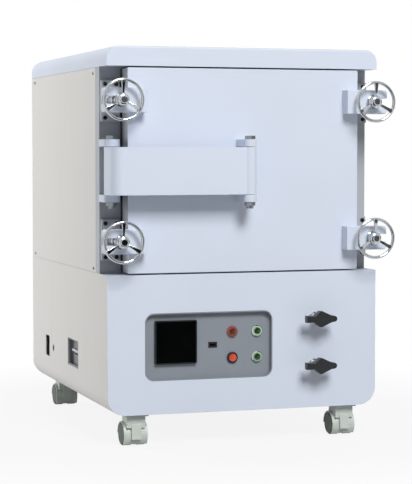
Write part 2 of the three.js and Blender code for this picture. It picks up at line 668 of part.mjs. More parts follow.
const rightWire = hairpin();
const wireSlotHalf = (wire.runs * wirePitch) / 2;
const wireSlots = [-cavity.halfWidth - slotDepth, cavity.halfWidth - fit].map((x) => (
  block(x, x + slotDepth + fit, wireFront - wirePitch, wireRear + wirePitch,
    chamberMiddle - wireSlotHalf, chamberMiddle + wireSlotHalf)));
const gland = { radius: 9, length: 14 };
const glands = joined([-wireX, wireX].flatMap((x) => wireEnds.map((z) => (
  rod(gland.radius, 'y', chamberRear - chamber.wall / 2, chamberRear + gland.length, 12)
    .translate([x, 0, z])))));
const leadHoles = joined([-wireX, wireX].flatMap((x) => wireEnds.map((z) => (
  rod(leadHole, 'y', wireRear, chamberRear + gland.length + overrun, 8).translate([x, 0, z])))));

// Thermocouple and vacuum port, both through the rear of the chamber
const probe = { radius: 3, z: chamberMiddle + 80, reach: 60, headRadius: 14, headLength: 30 };
const probeHole = rod(probe.radius + fit, 'y', cavityBack - overrun, chamberRear + overrun, 12)
  .translate([0, 0, probe.z]);
const portHole = rod(port.bore, 'y', cavityBack - overrun, chamberRear + overrun)
  .translate([port.x, 0, port.z]);
const chamberShell = chamberBox(0, chamberFront, chamberRear).add(joined(ribs)).add(glands)
  .subtract(chamberBox(-chamber.wall, chamberFront - overrun, chamberRear - chamber.wall))
  .subtract(leadHoles).subtract(probeHole).subtract(portHole);
piece('vacuum_chamber', chamberShell, steel);

const muffle = lining.subtract(cavityBlock).subtract(joined(wireSlots))
  .subtract(leadHoles).subtract(probeHole)
  .subtract(rod(port.bore, 'y', cavityBack - overrun, chamberRear + overrun)
    .translate([port.x, 0, port.z]));
piece('chamber_insulation', muffle, fibre);
const link = { reach: 6, thickness: 5 };
const linkRear = chamberRear + leadReach - wire.radius;
const linkBar = block(-wireX - link.reach, wireX + link.reach, linkRear - link.thickness, linkRear,
  wireEnds[0] - link.reach, wireEnds[0] + link.reach);
piece('heating_elements', joined([rightWire, rightWire.mirror([1, 0, 0]), linkBar]), element);

const thermocouple = rod(probe.radius, 'y', cavityBack - probe.reach, chamberRear + overrun, 12)
  .add(rod(probe.headRadius, 'y', chamberRear + fit, chamberRear + fit + probe.headLength))
  .translate([0, 0, probe.z]);
piece('thermocouple', thermocouple, steel);

const portRear = bodyDepth + port.reach;
const portBarrel = turned([[port.bore, chamberRear + fit], [port.flange, chamberRear + fit],
  [port.flange, chamberRear + fit + port.flangeDepth],
  [port.radius, chamberRear + fit + port.flangeDepth],
  [port.radius, portRear - port.flangeDepth], [port.flange, portRear - port.flangeDepth],
  [port.flange, portRear], [port.bore, portRear], [port.bore, chamberRear + fit]], 'y', 16);
piece('vacuum_port', portBarrel, steel, { x: port.x, y: 0, z: port.z });

// Hearth plate, loose on the floor of the muffle
const hearth = { sideRoom: 20, endRoom: 30, thickness: 12 };
const hearthHalf = cavity.halfWidth - hearth.sideRoom;
const hearthLow = chamberMiddle - cavity.halfHeight + fit;
piece('hearth_plate', block(-hearthHalf, hearthHalf, stepBack + hearth.endRoom,
  cavityBack - hearth.endRoom, hearthLow, hearthLow + hearth.thickness), ceramic);

// Door seal: a flat ring on the flange round the mouth
const seal = { margin: 14, width: 12, radius: 24 };

function sealShape(grow) {
  const halfWidth = mouthWidth / 2 + seal.margin + grow;
  const halfHeight = mouthHeight / 2 + seal.margin + grow;
  return rounded(-halfWidth, halfWidth, chamberMiddle - halfHeight, chamberMiddle + halfHeight,
    evenRadii(seal.radius + grow));
}

const sealFront = doorThickness + fit;
const sealBack = flangeSetback - fit;
const doorSeal = extrude(sealShape(seal.width), 'y', sealFront, sealBack, 4)
  .subtract(extrude(sealShape(0), 'y', sealFront - overrun, sealBack + overrun, 4));
piece('door_seal', doorSeal, rubber);

// Keeper plates on the flange, one behind each clamp screw
const keeper = { width: 42, height: 92, thickness: 12, radius: 4 };
const keeperBack = flangeSetback - fit;
const keeperFront = keeperBack - keeper.thickness;
const keeperPlate = extrude(rounded(-keeper.width / 2, keeper.width / 2, -keeper.height / 2,
  keeper.height / 2, evenRadii(keeper.radius)), 'y', keeperFront, keeperBack, 2)
  .subtract(rod(boltRadius + fit, 'y', keeperFront - overrun, keeperBack + overrun));
for (const { tag, x, z } of clampPlaces) {
  piece(`clamp_keeper_${tag}`, keeperPlate, paint, { x, y: 0, z });
}

// Hinge brackets on the flange, above and below the swing arm, with the bolt through them
const plateThickness = 16;
const armPlay = 1; // above and below the arm
const bracketRadius = 18.5;
const hexRadius = 12;
const headHeight = 7.5;
const boltTail = 6; // thread past the nut
const pivotLevels = [armLow - armPlay - plateThickness, armHigh + armPlay];
const pivotTags = ['lower', 'upper'];

// Plate with a round nose about a pivot, running back along y to the face that carries it
function nosePlate(pivot, radius, back, low) {
  const shape = new THREE.Shape();
  shape.moveTo(pivot.x + radius, pivot.y);
  shape.lineTo(pivot.x + radius, back);
  shape.lineTo(pivot.x - radius, back);
  shape.lineTo(pivot.x - radius, pivot.y);
  shape.absarc(pivot.x, pivot.y, radius, Math.PI, 2 * Math.PI);
  return extrude(shape, 'z', low, low + plateThickness, 8);
}

function boltHole(pivot, low, high) {
  return rod(boltRadius + fit, 'z', low - overrun, high + overrun)
    .translate([pivot.x, pivot.y, 0]);
}

function hingeBolt(pivot) {
  const under = pivotLevels[0] - fit;
  const above = pivotLevels[1] + plateThickness + fit;
  return joined([
    rod(hexRadius, 'z', above, above + headHeight, 6),
    rod(boltRadius, 'z', under - headHeight - boltTail, above + headHeight / 2),
    rod(hexRadius, 'z', under - headHeight, under, 6),
  ]).translate([pivot.x, pivot.y, 0]);
}

const bracketBack = flangeSetback - fit;
const bracketHoles = boltHole(armPivot, pivotLevels[0], pivotLevels[1] + plateThickness);
pivotLevels.forEach((low, i) => {
  const bracket = nosePlate(armPivot, bracketRadius, bracketBack, low).subtract(bracketHoles);
  piece(`hinge_bracket_${pivotTags[i]}`, bracket, paint);
});
piece('arm_hinge_bolt', hingeBolt(armPivot), steel);

// Swing arm: a box beam that wraps round the cabinet pivot and ends in a knuckle on the door pivot
const armWrap = { left: 20, right: 16, back: -5, cornerRadius: 25, backRadius: 8 };
const knuckleRadius = 14;
const beamLeft = armPivot.x - armWrap.left;
const wrapRight = armPivot.x + armWrap.right;
const beamShape = rounded(beamLeft, doorPivot.x, armFront, armFront + armBeam,
  [armWrap.cornerRadius, 0, 0, 0]);
const wrapShape = rounded(beamLeft, wrapRight, armFront, armPivot.y + armWrap.back,
  [armWrap.cornerRadius, 0, armWrap.backRadius, armWrap.backRadius]);
const knuckle = rod(knuckleRadius, 'z', armLow, armHigh, 24);
const swingArm = extrude(beamShape, 'z', armLow, armHigh, 8)
  .add(extrude(wrapShape, 'z', armLow, armHigh, 8))
  .add(knuckle.translate([armPivot.x, armPivot.y, 0]))
  .add(knuckle.translate([doorPivot.x, doorPivot.y, 0]))
  .subtract(boltHole(armPivot, armLow, armHigh))
  .subtract(boltHole(doorPivot, armLow, armHigh));
piece('swing_arm', swingArm, paint);

// Door: a painted pan closed by a steel plate, with a tapered fibre plug on its inner face
const doorShape = rounded(-doorHalf, doorHalf, doorLow, doorHigh, evenRadii(doorRadius));
const doorInside = rounded(-doorHalf + doorSheet, doorHalf - doorSheet, doorLow + doorSheet,
  doorHigh - doorSheet, evenRadii(doorRadius - doorSheet));
const doorShell = extrude(doorShape, 'y', 0, doorThickness, 4)
  .subtract(extrude(doorInside, 'y', doorSheet, doorThickness + overrun, 2));
piece('door_shell', doorShell, paint);

const plateEdge = doorSheet + fit;
piece('door_plate', block(-doorHalf + plateEdge, doorHalf - plateEdge,
  doorThickness - doorPlateThickness, doorThickness, doorLow + plateEdge, doorHigh - plateEdge),
steel);

const plugGap = 4; // round the root of the plug
const plugDraft = 12; // how much narrower each side is at the tip
const plugRadius = 14;
const plugFront = doorThickness + fit;
const plugWidth = mouthWidth - 2 * plugGap;
const plugHeight = mouthHeight - 2 * plugGap;
const plug = new THREE.BoxGeometry(plugWidth, plugDepth, plugHeight);
const plugCorners = plug.attributes.position;
for (let i = 0; i < plugCorners.count; i += 1) {
  if (plugCorners.getY(i) > 0) {
    plugCorners.setX(i, plugCorners.getX(i) - Math.sign(plugCorners.getX(i)) * plugDraft);
    plugCorners.setZ(i, plugCorners.getZ(i) - Math.sign(plugCorners.getZ(i)) * plugDraft);
  }
}
const plugOutline = rounded(-plugWidth / 2, plugWidth / 2, -plugHeight / 2, plugHeight / 2,
  evenRadii(plugRadius));
const doorPlug = solid(plug).intersect(extrude(plugOutline, 'y', -plugDepth, plugDepth, 3));
piece('door_plug', doorPlug.translate([0, plugFront + plugDepth / 2, chamberMiddle]), fibre);

// Lugs on the door front, forked at their outer ends for the clamp screws
const lug = { inner: 60, outer: 36, half: 26.5, thickness: 30, radius: 6 };
const lugBack = -fit;
const lugFront = lugBack - lug.thickness;
const forkHalf = boltRadius + fit;
const lugOutline = rounded(-lug.inner, lug.outer, -lug.half, lug.half, [0, lug.radius, lug.radius, 0]);
const rightLug = extrude(lugOutline, 'y', lugFront, lugBack, 3)
  .subtract(rod(forkHalf, 'y', lugFront - overrun, lugBack + overrun))
  .subtract(block(0, lug.outer + overrun, lugFront - overrun, lugBack + overrun,
    -forkHalf, forkHalf));
for (const { tag, x, z } of clampPlaces) {
  piece(`door_lug_${tag}`, x > 0 ? rightLug : rightLug.mirror([1, 0, 0]), paint, { x, y: 0, z });
}

// Ears on the door front, above and below the knuckle of the arm, with the bolt through them
const earRadius = 14.5;
const earHoles = boltHole(doorPivot, pivotLevels[0], pivotLevels[1] + plateThickness);
pivotLevels.forEach((low, i) => {
  const ear = nosePlate(doorPivot, earRadius, -fit, low).subtract(earHoles);
  piece(`door_ear_${pivotTags[i]}`, ear, paint);
});
piece('door_hinge_bolt', hingeBolt(doorPivot), steel);

// Clamp screws: a handwheel on a spindle that is held in the fork by a collar on each side
const spindle = { front: -59, cap: 8.6, capHeight: 2, washer: 15, washerThickness: 5, collar: 12,
  collarThickness: 8 };
const spindleTip = keeperFront - fit;
const tipChamfer = 2;
const washerBack = lugFront - fit;
const washerFront = washerBack - spindle.washerThickness;
const collarBack = spindle.collarThickness;
const spindleBody = turned([[0, spindle.front], [spindle.cap, spindle.front],
  [spindle.cap, spindle.front + spindle.capHeight], [boltRadius, spindle.front + spindle.capHeight],
  [boltRadius, washerFront], [spindle.washer, washerFront], [spindle.washer, washerBack],
  [boltRadius, washerBack], [boltRadius, 0], [spindle.collar, 0],
  [spindle.collar, collarBack], [boltRadius, collarBack],
  [boltRadius, spindleTip - tipChamfer], [boltRadius - tipChamfer, spindleTip], [0, spindleTip]],
'y', 10);

const wheel = { radius: 46.5, rim: 3.5, plane: -51, hubRadius: 14, hubFace: 11, spoke: 4.4,
  spokeRoot: 3, spokes: 3, spokeLean: 1 };
const rimRadius = wheel.radius - wheel.rim;
const rim = new THREE.TorusGeometry(rimRadius, wheel.rim, 6, 22);
const hubFront = spindle.front + spindle.capHeight;
const hubBack = washerFront - fit;
const hub = turned([[0, hubFront], [wheel.hubFace, hubFront],
  [wheel.hubRadius, (hubFront + hubBack) / 2], [wheel.hubRadius, hubBack], [0, hubBack]],
'y', 12);
const spokes = [];
for (let i = 0; i < wheel.spokes; i += 1) {
  const spoke = new THREE.CylinderGeometry(wheel.spoke, wheel.spokeRoot,
    rimRadius - wheel.hubFace, 6);
  spoke.translate(0, (rimRadius + wheel.hubFace) / 2, 0).rotateX(Math.PI / 2);
  spoke.translate(0, wheel.plane + wheel.spokeLean, 0);
  spoke.rotateY((i / wheel.spokes) * 2 * Math.PI);
  spokes.push(solid(spoke));
}
const handwheel = joined([solid(rim.rotateX(Math.PI / 2).translate(0, wheel.plane, 0)),
  hub, spindleBody, ...spokes]);
for (const { tag, x, z } of clampPlaces) {
  piece(`handwheel_${tag}`, handwheel, chrome, { x, y: 0, z });
}

// Twin-wheel casters: a hood with its boss and brake pedal, and a pair of wheels on one axle
for (const { tag, x, y } of casterPlaces) {
  piece(`caster_fork_${tag}`, casterFork, casterPlastic, { x, y, z: 0 });
  piece(`caster_wheels_${tag}`, twinWheels, rubber, { x, y, z: 0 });
}

// The origin lies on the floor under the middle of the furnace
const frontReach = doorPivot.y - earRadius;
furnace.position.y = -(frontReach + portRear) / 2;

export default furnace;
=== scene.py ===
"""Surfaces, small fittings and studio of a vacuum muffle furnace on casters.

Every piece is in metres, +Z up, with the door facing -Y and the origin on the floor under the
middle of the furnace. Sizes that follow the solid model are read from it.
"""

import json
import math

import bmesh
import bpy
from mathutils import Matrix, Vector

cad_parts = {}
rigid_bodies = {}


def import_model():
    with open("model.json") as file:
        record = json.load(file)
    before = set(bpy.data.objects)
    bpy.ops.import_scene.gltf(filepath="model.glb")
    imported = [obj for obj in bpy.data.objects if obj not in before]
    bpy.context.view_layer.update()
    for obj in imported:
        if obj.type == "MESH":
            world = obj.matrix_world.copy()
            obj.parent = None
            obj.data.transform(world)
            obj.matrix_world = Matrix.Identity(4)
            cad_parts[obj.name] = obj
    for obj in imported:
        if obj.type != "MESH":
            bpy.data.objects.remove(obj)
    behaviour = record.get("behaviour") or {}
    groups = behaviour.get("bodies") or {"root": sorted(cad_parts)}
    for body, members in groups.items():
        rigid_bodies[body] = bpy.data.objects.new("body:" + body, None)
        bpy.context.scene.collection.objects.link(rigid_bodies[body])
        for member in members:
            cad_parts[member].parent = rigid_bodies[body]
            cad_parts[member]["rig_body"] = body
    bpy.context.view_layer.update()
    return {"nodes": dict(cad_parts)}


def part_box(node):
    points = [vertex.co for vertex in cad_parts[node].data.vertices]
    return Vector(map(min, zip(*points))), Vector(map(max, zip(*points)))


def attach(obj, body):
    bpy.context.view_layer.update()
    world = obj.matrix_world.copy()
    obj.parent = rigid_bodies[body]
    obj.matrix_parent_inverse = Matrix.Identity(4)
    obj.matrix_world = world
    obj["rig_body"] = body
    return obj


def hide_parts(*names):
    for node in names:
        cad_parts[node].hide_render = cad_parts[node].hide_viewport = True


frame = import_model()

bl_info = {
    "name": "Vacuum muffle furnace",
    "version": (1, 0, 0),
    "blender": (4, 5, 0),
    "location": "3D view > Sidebar > Furnace",
    "description": "Builds the surfaces, fittings and studio of a vacuum muffle furnace",
    "category": "Object",
}

MM = 0.001

# Pieces that repeat, and the finishes of the buttons

CORNERS = ("upper_left", "upper_right", "lower_left", "lower_right")
WHEEL_PLACES = ("front_left", "front_right", "rear_left", "rear_right")
BUTTONS = ("stop", "power", "heat", "vacuum")
RING_OF = {"stop": "red_lens", "heat": "dark_ring"}
BANDS_OF = {"stop": ("red_lens", "red_core"), "heat": ("orange_lens", "orange_lens")}
GREEN_BANDS = ("green_lens", "green_core")
BAND_SHARES = (1.1, 0.8)  # outer radii of a lens's two bands, from the button's radius

# How faces and edges are told apart, and how they are shaded

SHARP = math.radians(25)  # least angle of an edge that is rounded
FLAT = math.radians(0.4)  # most angle between triangles that are merged
WELD = 0.01 * MM  # points closer than this are merged
LEVEL = MM / 9  # how far the ends of a level edge may differ in height
NEAR = MM / 2  # how far a face or an edge may lie from the place that is looked for
FACING = 0.9  # how squarely a face looks along an axis
FLAT_WEIGHT = 80  # how strongly large faces keep their shading flat, where 50 is even
SIDEWAYS = 0.5  # most that a face of the door's edge looks forward or back

ROUND_Y = (math.pi / 2, 0, 0)  # turns a round primitive on to the Y axis

# Sizes of the small fittings

COVER_SCREW = 3.2 * MM  # radius of the heads on the side covers
COVER_SCREW_ENDS = (17 * MM, 33 * MM)  # from the front and from the rear of a cover
COVER_SCREW_HEIGHTS = (9 * MM, 12 * MM)  # from its lower and from its upper edge
USB_SCREW = 1.8 * MM  # radius of the heads beside the socket
USB_SCREW_REACH = 15.5 * MM  # from the middle of the socket
KEEPER_SCREW = 4.6 * MM  # radius of the heads on the keepers
KEEPER_SCREW_REACH = (12.5 * MM, 37 * MM)  # sideways and upwards from the spindle
HEAD_SHARE = 0.55  # height of a screw head, from its radius
RIM_SHARE = 0.42  # width of the rim round its socket, from its radius
OUTER = 0.9  # share of its height and radius beyond which its outer edge lies
RECESS = 15 * MM  # depth of the tray
RING = 13 * MM  # radius within which the tray is a button's ring
RING_PROUD = 0.1 * MM  # least height of the ring over the floor of the tray
BEZEL = 2.5 * MM  # width of the frame round the screen
COLLAR, COLLAR_STEP = 1.3 * MM, 0.8 * MM  # width of a button's collar, and the drop inside it
LENS_GAP, LENS_RISE = 0.3 * MM, 1.2 * MM  # groove round the lens, and its side above the groove
LENS_DEPTH = 2 * MM  # how far behind a button's front its lens reaches
DOME_STEP, DOME_RISE = 0.22, 0.35 * MM  # width of each step, from the radius, and the first rise
RIM_PLANE = 8 * MM  # middle of a handwheel's rim, behind its front
# Radii of the clamp screw and of the hub, and places behind the wheel's front, in millimetres
SPINDLE = ((6.6, 0.9), (8.0, 2.2), (8.0, 23.2), (15.0, 23.4), (15.0, 28.4), (8.0, 28.5),
           (8.0, 59.1), (12.0, 59.2), (12.0, 66.8), (8.0, 67.0), (8.0, 111.4), (6.0, 113.4))
HUB = ((5.0, 2.4), (8.5, 2.4), (11.5, 3.4), (13.2, 5.6), (14.0, 9.0), (14.0, 17.0), (12.6, 22.4),
       (9.0, 22.6))
SPOKE_START, SPOKE_HALF = 9 * MM, 2.6 * MM  # inner end of a spoke, and half of its thickness
SPOKE_BOW, SPOKE_LEAN = 1.5 * MM, 3.5 * MM  # forward at the rim, and backward at the hub
SHADED_GAP_DEPTH = 16 * MM  # depth of the black band at the rear of the door's sides: painted shade of the gap to the flange, drawn as a rubber lip

# Radii of rounded edges

SOCKET_EDGE = 0.4 * MM
PORT_EDGE = 0.6 * MM
BREAKER_EDGE = 0.8 * MM
BOLT_EDGE = 0.8 * MM
KNOB_EDGE = 1.2 * MM
ARM_EDGE = 1.2 * MM
SPOKE_EDGE = 1.8 * MM
PLUG_EDGE = 3 * MM

# Patterns of the finishes

MIX_SHARE, MIX_FIRST, MIX_SECOND, MIX_RESULT = 0, 6, 7, 2  # colour sockets of a Mix node
NOISE_LOW, NOISE_HIGH = 0.3, 0.7  # where most values of a noise texture lie
RELIEF = 0.4  # strength of every relief
PRISM, PRISM_DEPTH = 1.2 * MM, 0.1 * MM  # width and depth of the prisms in a lens
PRISM_HIGHLIGHT_AND_SHADE = (0.15, -0.25)  # painted highlight in their middles and painted shade at their edges, as shares of the colour

# Studio

ROOM_LIGHT = 0.17  # strength of the room's own light on the pieces
FLOOR_WHITE = 0.88  # share of plain white in what the camera sees of the floor
MIRRORED_WHITE = 0.8  # share of plain white in what polished surfaces see of the room
PAPER_CLOUDS = 3.0  # per metre: the paper's fibres are drawn far coarser, as faint clouds
PAPER_FADE = (0.5, 1.3)  # metres from the middle between which the paper turns plain white
NAP, NAP_SPREAD = 9 * MM, 0.2  # width and strength of the clouds on the dark cloths
CAMERA_PLACE = (-1.2722, -3.9928, 0.6521)
CAMERA_DIP, CAMERA_HEADING = 3.044, 18.023  # degrees downwards and to the right
CAMERA_SENSOR, CAMERA_LENS = 36, 129.28  # millimetres


def linear(code):
    """sRGB hex value as a linear RGBA colour."""
    parts = [int(code[i:i + 2], 16) / 255 for i in (0, 2, 4)]
    return tuple(c / 12.92 if c <= 0.04045 else ((c + 0.055) / 1.055) ** 2.4 for c in parts) + (1.0,)


def colour_property(name, code, description):
    """Colour of a finish, given as the sRGB hex value that a person would pick."""
    return bpy.props.FloatVectorProperty(name=name, description=description, subtype="COLOR",
                                         size=4, min=0.0, max=1.0, default=linear(code))


def length_property(name, millimetres, description):
    """Length that is shown in the scene's own unit."""
    return bpy.props.FloatProperty(name=name, description=description, subtype="DISTANCE",
                                   unit="LENGTH", default=millimetres * MM, min=0.0)


class FurnaceColours(bpy.types.PropertyGroup):
    """Colours of the finishes"""
    light_paint: colour_property("Light paint", "D7DFED", "Powder coat of the front and the door")
    warm_paint: colour_property("Warm paint", "DFDDD9", "Powder coat of the sides and the rear")
    # The flange's grey is partly painted shade of the recess behind the door.
    flange_paint: colour_property("Flange paint", "B4B8BE", "Paint of the flange behind the door")
    tray_paint: colour_property("Tray paint", "8A9098", "Paint of the control tray")
    red_lens: colour_property("Red lens", "9C4840", "Lens of the stop button")
    orange_lens: colour_property("Orange lens", "C2482F", "Lens of the heating button")
    green_lens: colour_property("Green lens", "6FB45E", "Lens of the power and vacuum buttons")
    nylon: colour_property("Caster nylon", "C8CFC8", "Moulded hoods and pedals of the casters")
    # The treads' dark grey is partly painted shade.
    tread_with_shade: colour_property("Caster tread", "5A625E", "Treads of the caster wheels")
    chrome: colour_property("Chrome", "C9CCCF", "Plate on the handwheels and button rings")


class FurnaceSizes(bpy.types.PropertyGroup):
    """Sizes of the finer forms"""
    sheet_edge: length_property("Sheet edge", 0.7, "Radius of the edges of the sheet metal")
    plate_edge: length_property("Plate edge", 1.5, "Radius of the edges of the thick plates")
    rim_tube: length_property("Rim tube", 3.5, "Radius of the tube of the handwheel rims")
    spoke_root: length_property("Spoke root", 2.6, "Half width of a spoke at the hub")
    spoke_tip: length_property("Spoke tip", 5.0, "Half width of a spoke at the rim")


def sizes():
    return bpy.context.scene.furnace_sizes


def colours():
    return bpy.context.scene.furnace_colours


# Nodes and materials


def add_node(tree, kind, inputs=None, **settings):
    """Adds a node with its settings; an input takes a value or another node's output."""
    made = tree.nodes.new(kind)
    for key, value in settings.items():
        setattr(made, key, value)
    for key, value in (inputs or {}).items():
        if isinstance(value, bpy.types.NodeSocket):
            tree.links.new(value, made.inputs[key])
        else:
            made.inputs[key].default_value = value
    return made


def empty_material(name):
    """Node material with nothing in it yet, and its tree."""
    material = bpy.data.materials.new(name)
    material.use_nodes = True
    material.node_tree.nodes.clear()
    return material, material.node_tree


def toned(colour, share):
    """Colour made paler by a share, or darker by a negative one."""
    return tuple(min(channel * (1 + share), 1) for channel in colour[:3]) + (1.0,)


def grained(name, colour, spread, cloud_mm, grain_mm, depth_mm, roughness, drawn=(1, 1, 1),
            **shader):
    """Cloudy tone over a fine grain, which also gives the relief and the uneven sheen.

    Spread is a share of the colour, roughness its least and its most, and drawn stretches the
    pattern along the axes where it is under 1.
    """
    material, tree = empty_material(name)
    place = add_node(tree, "ShaderNodeTexCoord").outputs["Object"]
    place = add_node(tree, "ShaderNodeMapping", {"Vector": place, "Scale": drawn}).outputs[0]
    cloud = add_node(tree, "ShaderNodeTexNoise", {
        "Vector": place, "Scale": 1 / (cloud_mm * MM), "Detail": 1.0})
    grain = add_node(tree, "ShaderNodeTexNoise", {
        "Vector": place, "Scale": 1 / (grain_mm * MM), "Detail": 3.0})
    share = add_node(tree, "ShaderNodeMapRange", {
        "Value": cloud.outputs["Fac"], "From Min": NOISE_LOW, "From Max": NOISE_HIGH})
    tone = add_node(tree, "ShaderNodeMix", {
        MIX_SHARE: share.outputs[0], MIX_FIRST: toned(colour, -spread),
        MIX_SECOND: toned(colour, spread)}, data_type="RGBA")
    sheen = add_node(tree, "ShaderNodeMapRange", {
        "Value": grain.outputs["Fac"], "From Min": NOISE_LOW, "From Max": NOISE_HIGH,
        "To Min": roughness[0], "To Max": roughness[1]})
    relief = add_node(tree, "ShaderNodeBump", {
        "Height": grain.outputs["Fac"], "Distance": depth_mm * MM, "Strength": RELIEF})
    surface = add_node(tree, "ShaderNodeBsdfPrincipled", {
        "Base Color": tone.outputs[MIX_RESULT], "Roughness": sheen.outputs[0],
        "Normal": relief.outputs[0], **shader})
    add_node(tree, "ShaderNodeOutputMaterial", {"Surface": surface.outputs[0]})
    return material


def lens(name, colour, glow):
    """Polycarbonate lens: small moulded prisms under a glossy skin, each with a painted highlight in
    its middle and painted shade at its edges, lit a little from behind.
    """
    material, tree = empty_material(name)
    place = add_node(tree, "ShaderNodeTexCoord").outputs["Object"]
    prisms = add_node(tree, "ShaderNodeTexVoronoi", {"Vector": place, "Scale": 1 / PRISM})
    tone = add_node(tree, "ShaderNodeMix", {
        MIX_SHARE: prisms.outputs["Distance"], MIX_FIRST: toned(colour, PRISM_HIGHLIGHT_AND_SHADE[0]),
        MIX_SECOND: toned(colour, PRISM_HIGHLIGHT_AND_SHADE[1])}, data_type="RGBA")
    relief = add_node(tree, "ShaderNodeBump", {
        "Height": prisms.outputs["Distance"], "Distance": PRISM_DEPTH, "Strength": RELIEF})
    surface = add_node(tree, "ShaderNodeBsdfPrincipled", {
        "Base Color": tone.outputs[MIX_RESULT], "Emission Color": tone.outputs[MIX_RESULT],
        "Emission Strength": glow, "Roughness": 0.2, "IOR": 1.58, "Coat Weight": 0.4,
        "Normal": relief.outputs[0]})
    add_node(tree, "ShaderNodeOutputMaterial", {"Surface": surface.outputs[0]})
    return material


